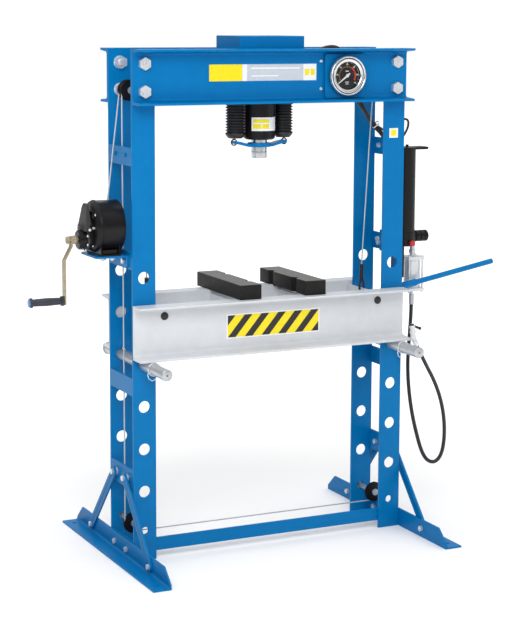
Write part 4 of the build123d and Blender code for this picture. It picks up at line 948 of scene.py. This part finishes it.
class StickFilms(Operator):
    """Lays the plain label fields, the striped patch and the sticker, all without lettering."""

    bl_idname = "press.films"
    bl_label = "Plain Labels"

    def execute(self, context):
        prints = context.scene.press_print
        white, yellow, silver = range(3)
        web = plane((0, BEAM_FACE_Y, 0), FRONT)
        labels = Shape()
        label_z, gap = 1802.5, 0.6
        fields = ((-265, -132, yellow), (-132, -111, white), (-111, 119, silver), (119, 175, white))
        for left, right, ink in fields:
            labels.paint = ink
            labels.plate(right - left - gap, 61, web, 0.3, ((left + right) / 2, label_z))
        labels.paint = yellow
        for x in (135, 159):
            labels.plate(18, 24, web, 0.45, (x, label_z))
        labels.paint = white
        labels.plate(200, 5, web, 0.45, (4, 1818))
        labels.plate(110, 4, web, 0.45, (-40, 1790))
        labels.done("beam_labels", "film_white film_yellow film_silver")

        left, right, low, high = -189, 192, 818.5, 901.5
        border = 9
        bed_web = plane((0, BED_FACE_Y, 0), FRONT)
        middle = ((left + right) / 2, (low + high) / 2)
        patch = Shape()
        patch.plate(right - left + border, high - low + border, bed_web, 0.25, middle)
        patch.paint = yellow
        patch.plate(right - left, high - low, bed_web, 0.4, middle)
        patch.done("striped_patch", "film_white film_yellow", "bed")
        stripes = Shape()
        width = prints.stripe * 0.46
        start = left - prints.stripe
        while start < right:
            top = start + prints.lean
            outline = ((start, low), (start + width, low), (top + width, high), (top, high))
            stripes.slab(outline, bed_web, 0.55)
            start += prints.stripe
        mesh = stripes.mesh
        for edge, way in ((left, LEFT), (right, RIGHT)):
            bmesh.ops.bisect_plane(mesh, geom=mesh.verts[:] + mesh.edges[:] + mesh.faces[:],
                                   plane_co=point(edge, 0, 0), plane_no=Vector(way), clear_outer=True)
            stripes.close_holes()
        stripes.done("black_stripes", "film_black", "bed")

        wrap = Shape()
        areas = (
            (white, -144, 108, 0, 51, 40), (yellow, -138, 30, 8, 26, 16), (yellow, -104, 26, 8, 26, 16),
            (yellow, -138, 60, 31, 44, 16),
        )
        for ink, begin, sweep, low, high, steps in areas:
            lift = 0.3 if ink else 0.1
            turn = math.radians(begin)
            here = plane((0, 0, 1581), UP, (math.cos(turn), math.sin(turn), 0))
            wrap.paint = ink
            wrap.band(BARREL_R + lift, BARREL_R + lift + 0.3, low, high, here, steps, math.radians(sweep))
        wrap.done("barrel_label", "film_white film_yellow")

        sticker = Shape()
        post = plane((0, POST_FACE_Y, 0), FRONT)
        sticker.plate(38, 37, post, 0.3, (517.5, 1565))
        sticker.paint = yellow
        sticker.plate(24, 24, post, 0.45, (517.5, 1566))
        sticker.done("post_sticker", "film_white film_yellow")
        plugs = Shape()
        cap = [(0, 0), (15, 0), (15, 1.6), (13, 3.2), (8, 4.2), (0, 4.6)]
        for x in (-444, 451):
            plugs.lathe(cap, plane((x, BED_FACE_Y, 918), FRONT), 28)
        plugs.done("bed_plugs", "film_black", "bed", sharp=30)
        return {"FINISHED"}


class CoverWinch(Operator):
    """Rolls the winch's round cover, folds the hopper over its gears and sets its screws and nuts."""

    bl_idname = "press.winch"
    bl_label = "Winch Cover"

    def execute(self, context):
        outside, inside, middle_z = -684, -578, 1247
        depth = inside - outside
        rim = 94
        shell = [
            (rim, 0), (rim, depth - 22), (rim + 2, depth - 20), (rim + 2, depth - 15), (rim, depth - 13),
            (rim - 2, depth - 8), (rim - 9, depth), (56, depth), (56, depth - 2), (rim - 10, depth - 2),
            (rim - 4, depth - 9), (rim - 2, depth - 14), (rim - 2, 0),
        ]
        cover = Shape()
        cover.lathe(shell, plane((inside, 0, middle_z), LEFT), 72, closed=True)
        for y in (-46, 46):
            cover.plate(26, 16, plane((inside - 8, y, 1156), LEFT), 70)
        cover.done("winch_drum_cover", "black_paint", replaces=("winch_cover",), bevel=0.8)

        hopper = Shape()
        foot_z, half_width = 1233, 43
        outline = [
            (-690, foot_z), (-718, foot_z), (-715, 1254), (-706, 1320), (-701, 1330), (-695, 1332),
            (-692, 1262),
        ]
        hopper.slab(outline, plane((0, half_width, 0), FRONT), 2 * half_width)
        for vert in hopper.mesh.verts:
            vert.co.y *= 1.0 - 0.5 * (vert.co.z / MM - foot_z) / 97
        hopper.lathe([(0, 0), (15, 0), (15, 3), (12, 5), (0, 5)], plane((-722.5, 0, 1246), LEFT), 28)
        collar = [(37, 0), (44, 0), (44, 6), (41, 8), (37, 8)]
        hopper.lathe(collar, plane((-698, 0, CRANK_Z), LEFT), 48, closed=True)
        # The hopper takes the winch grey, lighter than the cover's black paint: painted light, for the light
        # from the left that the hopper catches.
        hopper.done("gear_hopper", "winch_grey", bevel=2.0)

        screws = Shape()
        for x, z, radius in ((-699, 1238, 5.5), (-684, 1244, 5)):
            dome_screw(screws, plane((x, -42, z), FRONT), radius, 3.6)
        for y, z in ((-40, 1216), (-40, 1184), (0, 1241.5), (40, 1216), (40, 1184), (-18, 1162), (18, 1162)):
            dome_screw(screws, plane((GEARS_X, y, z), LEFT), 4.6, 3.4)
        circle_r = 76
        for degrees in (38, 66, 142, 246, 294):
            turn = math.radians(degrees)
            spot = (outside + 0.4, circle_r * math.cos(turn), middle_z + circle_r * math.sin(turn))
            dome_screw(screws, plane(spot, LEFT), 4.6, 3)
        for x in (-650, -612):
            for y in (-40, 40):
                below = plane((x, y, SHELF_BOTTOM_Z), DOWN)
                screws.hexagon(22, below, 9.6)
                screws.lathe([(0, 9.6), (6, 9.6), (6, 14), (5, 15), (0, 15)], below, 16)
        screws.done("winch_screws", "bright_zinc")
        return {"FINISHED"}


class DriveScrews(Operator):
    """Sets the small screws, the nuts' thread ends and washers, the pins' wires and the grip's cap."""

    bl_idname = "press.screws"
    bl_label = "Small Screws"

    def execute(self, context):
        screws = Shape()
        for z in (1843, 1739):
            dome_screw(screws, plane((195, BEAM_FACE_Y, z), FRONT), 6.5, 3.4, socket=False)
        for z in (1505, 1132):
            bolt_head(screws, plane((OUTER_X - PLATE_THICK, 61, z), LEFT), 17, 9, 11, 1.8)
        thread_end = [(0, 0), (12.6, 0), (12.6, 4), (11.4, 7), (5, 7.4), (0, 7.4)]
        washer = [(20.5, 0), (24, 0), (24, 1.6), (23.4, 2), (20.5, 2)]
        for x in (-COLUMN_X, COLUMN_X):
            for z in BEAM_BOLT_Z:
                for side in (-1, 1):
                    inward = (0, -side, 0)
                    screws.lathe(thread_end, plane((x, side * (POST_INNER_Y - NUT_DEPTH), z), inward), 24)
                    screws.lathe(washer, plane((x, side * POST_INNER_Y, z), inward), 32, closed=True)
        screws.done("cover_screws", "bright_zinc", bevel=0.3)
        painted = Shape()
        for y in (-55, 45):
            bolt_head(painted, plane((-OUTER_X, y, 1507), LEFT), 13, 6, 9, 1.6)
        painted.done("painted_bolts", "blue_paint", bevel=0.4)
        wires = Shape()
        bend = (
            (-22, -215, 738), (-26, -216, 722), (-22, -217, 708), (-10, -218, 700), (2, -218, 704),
            (8, -217, 716), (6, -216, 719),
        )
        for column in (-COLUMN_X, COLUMN_X):
            wires.wire([(column + x, y, z) for x, y, z in bend], 1.6)
        wires.done("pin_wires", "bright_zinc")
        cap = Shape()
        profile = [(9.4, 0), (15.6, 0), (15.6, 2.2), (14.4, 3.6), (10.2, 3.8), (9.4, 3)]
        cap.lathe(profile, plane((-916.6, 0, 978), LEFT), 32, closed=True)
        cap.done("grip_cap", "cap_blue", "grip")
        return {"FINISHED"}


class SetStage(Operator):
    """Lays a pale floor, lights the room and hangs the soft studio lights."""

    bl_idname = "press.stage"
    bl_label = "Studio Stage"

    def execute(self, context):
        stage = context.scene.press_stage
        self.lay_floor(stage)
        self.light_room(context, stage)
        self.hang_lights(stage)
        return {"FINISHED"}

    def lay_floor(self, stage):
        """A white floor that glows a little more away from the press."""
        mesh = bmesh.new()
        bmesh.ops.create_grid(mesh, x_segments=4, y_segments=4, size=30)
        data = bpy.data.meshes.new("studio_floor")
        mesh.to_mesh(data)
        mesh.free()
        material, shader, place = new_material(
            "studio_floor", Specular_IOR_Level=0.1, Emission_Strength=1.0
        )
        grain = place.noise(2.0, 2.0)
        tone = tuple(stage.floor_tone)
        distance = place.node("ShaderNodeVectorMath", {0: place}, "Value", operation="LENGTH")
        plug_in(
            shader,
            Base_Color=grain.tint(tone, shade(tone, 1.02)),
            Emission_Color=distance.between(1.0, 3.4).tint(*stage.floor_glow),
            Roughness=0.75 + 0.1 * (grain - 0.5),
        )
        data.materials.append(material)
        add_object("studio_floor", data)

    def light_room(self, context, stage):
        """A sky that is bright overhead and darker at the sides and in front; the camera sees it white."""
        world = bpy.data.worlds.new("studio_sky")
        world.use_nodes = True
        tree = world.node_tree
        around = Wire(tree, tree.nodes.new("ShaderNodeTexCoord").outputs["Generated"])
        heading = context.scene.press_camera.heading
        side = Vector((math.cos(heading), math.sin(heading), 0.0))
        nearer = Vector((math.sin(heading), -math.cos(heading), 0.0))

        def toward(direction):
            facing = around.along(direction)
            return facing.maths("MAXIMUM", facing, 0.0)

        across = toward(side) + toward(-side)
        walls = toward(nearer).tint((across * across).tint(stage.wall, stage.flags), stage.room)
        above = toward(UP)
        lit = (above * above).tint(walls, stage.roof)
        seen = around.node("ShaderNodeLightPath", output="Is Camera Ray")
        tree.links.new(seen.tint(lit, 1.0).socket, tree.nodes["Background"].inputs["Color"])
        context.scene.world = world
        context.scene.view_settings.view_transform = "Standard"

    def hang_lights(self, stage):
        """A large key light on the left and two weaker ones, all aimed at the middle of the press."""
        middle = Vector((0, 0, 0.95))
        lights = (
            ("key_light", (-2.0, -3.6, 3.5), 2.4, stage.key),
            ("fill_light", (4.4, -3.0, 2.6), 3.0, stage.fill),
            ("back_light", (1.5, 4.5, 3.6), 3.0, stage.fill),
        )
        for name, spot, size, power in lights:
            lamp = bpy.data.lights.new(name, "AREA")
            lamp.energy = power
            lamp.size = size
            spot = Vector(spot)
            turn = (middle - spot).to_track_quat("-Z", "Y").to_matrix().to_4x4()
            add_object(name, lamp).matrix_world = Matrix.Translation(spot) @ turn


steps = (
    PlaceCamera, MixFinishes, FitAirHose, FitPressureHoses, FitBellows, FitRopes, PrintDial, StickFilms,
    CoverWinch, DriveScrews, SetStage,
)
settings = {
    "press_camera": PressCamera,
    "press_stage": PressStage,
    "press_paint": PressPaint,
    "press_bellows": PressBellows,
    "press_hoses": PressHoses,
    "press_print": PressPrint,
}


class PressPanel(Panel):
    """Lists the sizes of the press's pieces and the steps that make them."""

    bl_idname = "VIEW3D_PT_press"
    bl_label = "Hydraulic Press"
    bl_space_type = "VIEW_3D"
    bl_region_type = "UI"
    bl_category = "Press"

    def draw(self, context):
        column = self.layout.column(align=True)
        for name, group in settings.items():
            for key in group.__annotations__:
                column.prop(getattr(context.scene, name), key)
        for step in steps:
            column.operator(step.bl_idname)


def register():
    for kind in (*settings.values(), *steps, PressPanel):
        bpy.utils.register_class(kind)
    for name, group in settings.items():
        setattr(bpy.types.Scene, name, PointerProperty(type=group))


def unregister():
    for name in settings:
        delattr(bpy.types.Scene, name)
    for kind in (PressPanel, *reversed(steps), *reversed(settings.values())):
        bpy.utils.unregister_class(kind)


def main():
    register()
    bpy.ops.press.camera()
    bpy.ops.press.finishes()
    bpy.ops.press.air_hose()
    bpy.ops.press.hoses()
    bpy.ops.press.bellows()
    bpy.ops.press.ropes()
    bpy.ops.press.dial()
    bpy.ops.press.films()
    bpy.ops.press.winch()
    bpy.ops.press.screws()
    bpy.ops.press.stage()


if __name__ == "__main__":
    main()
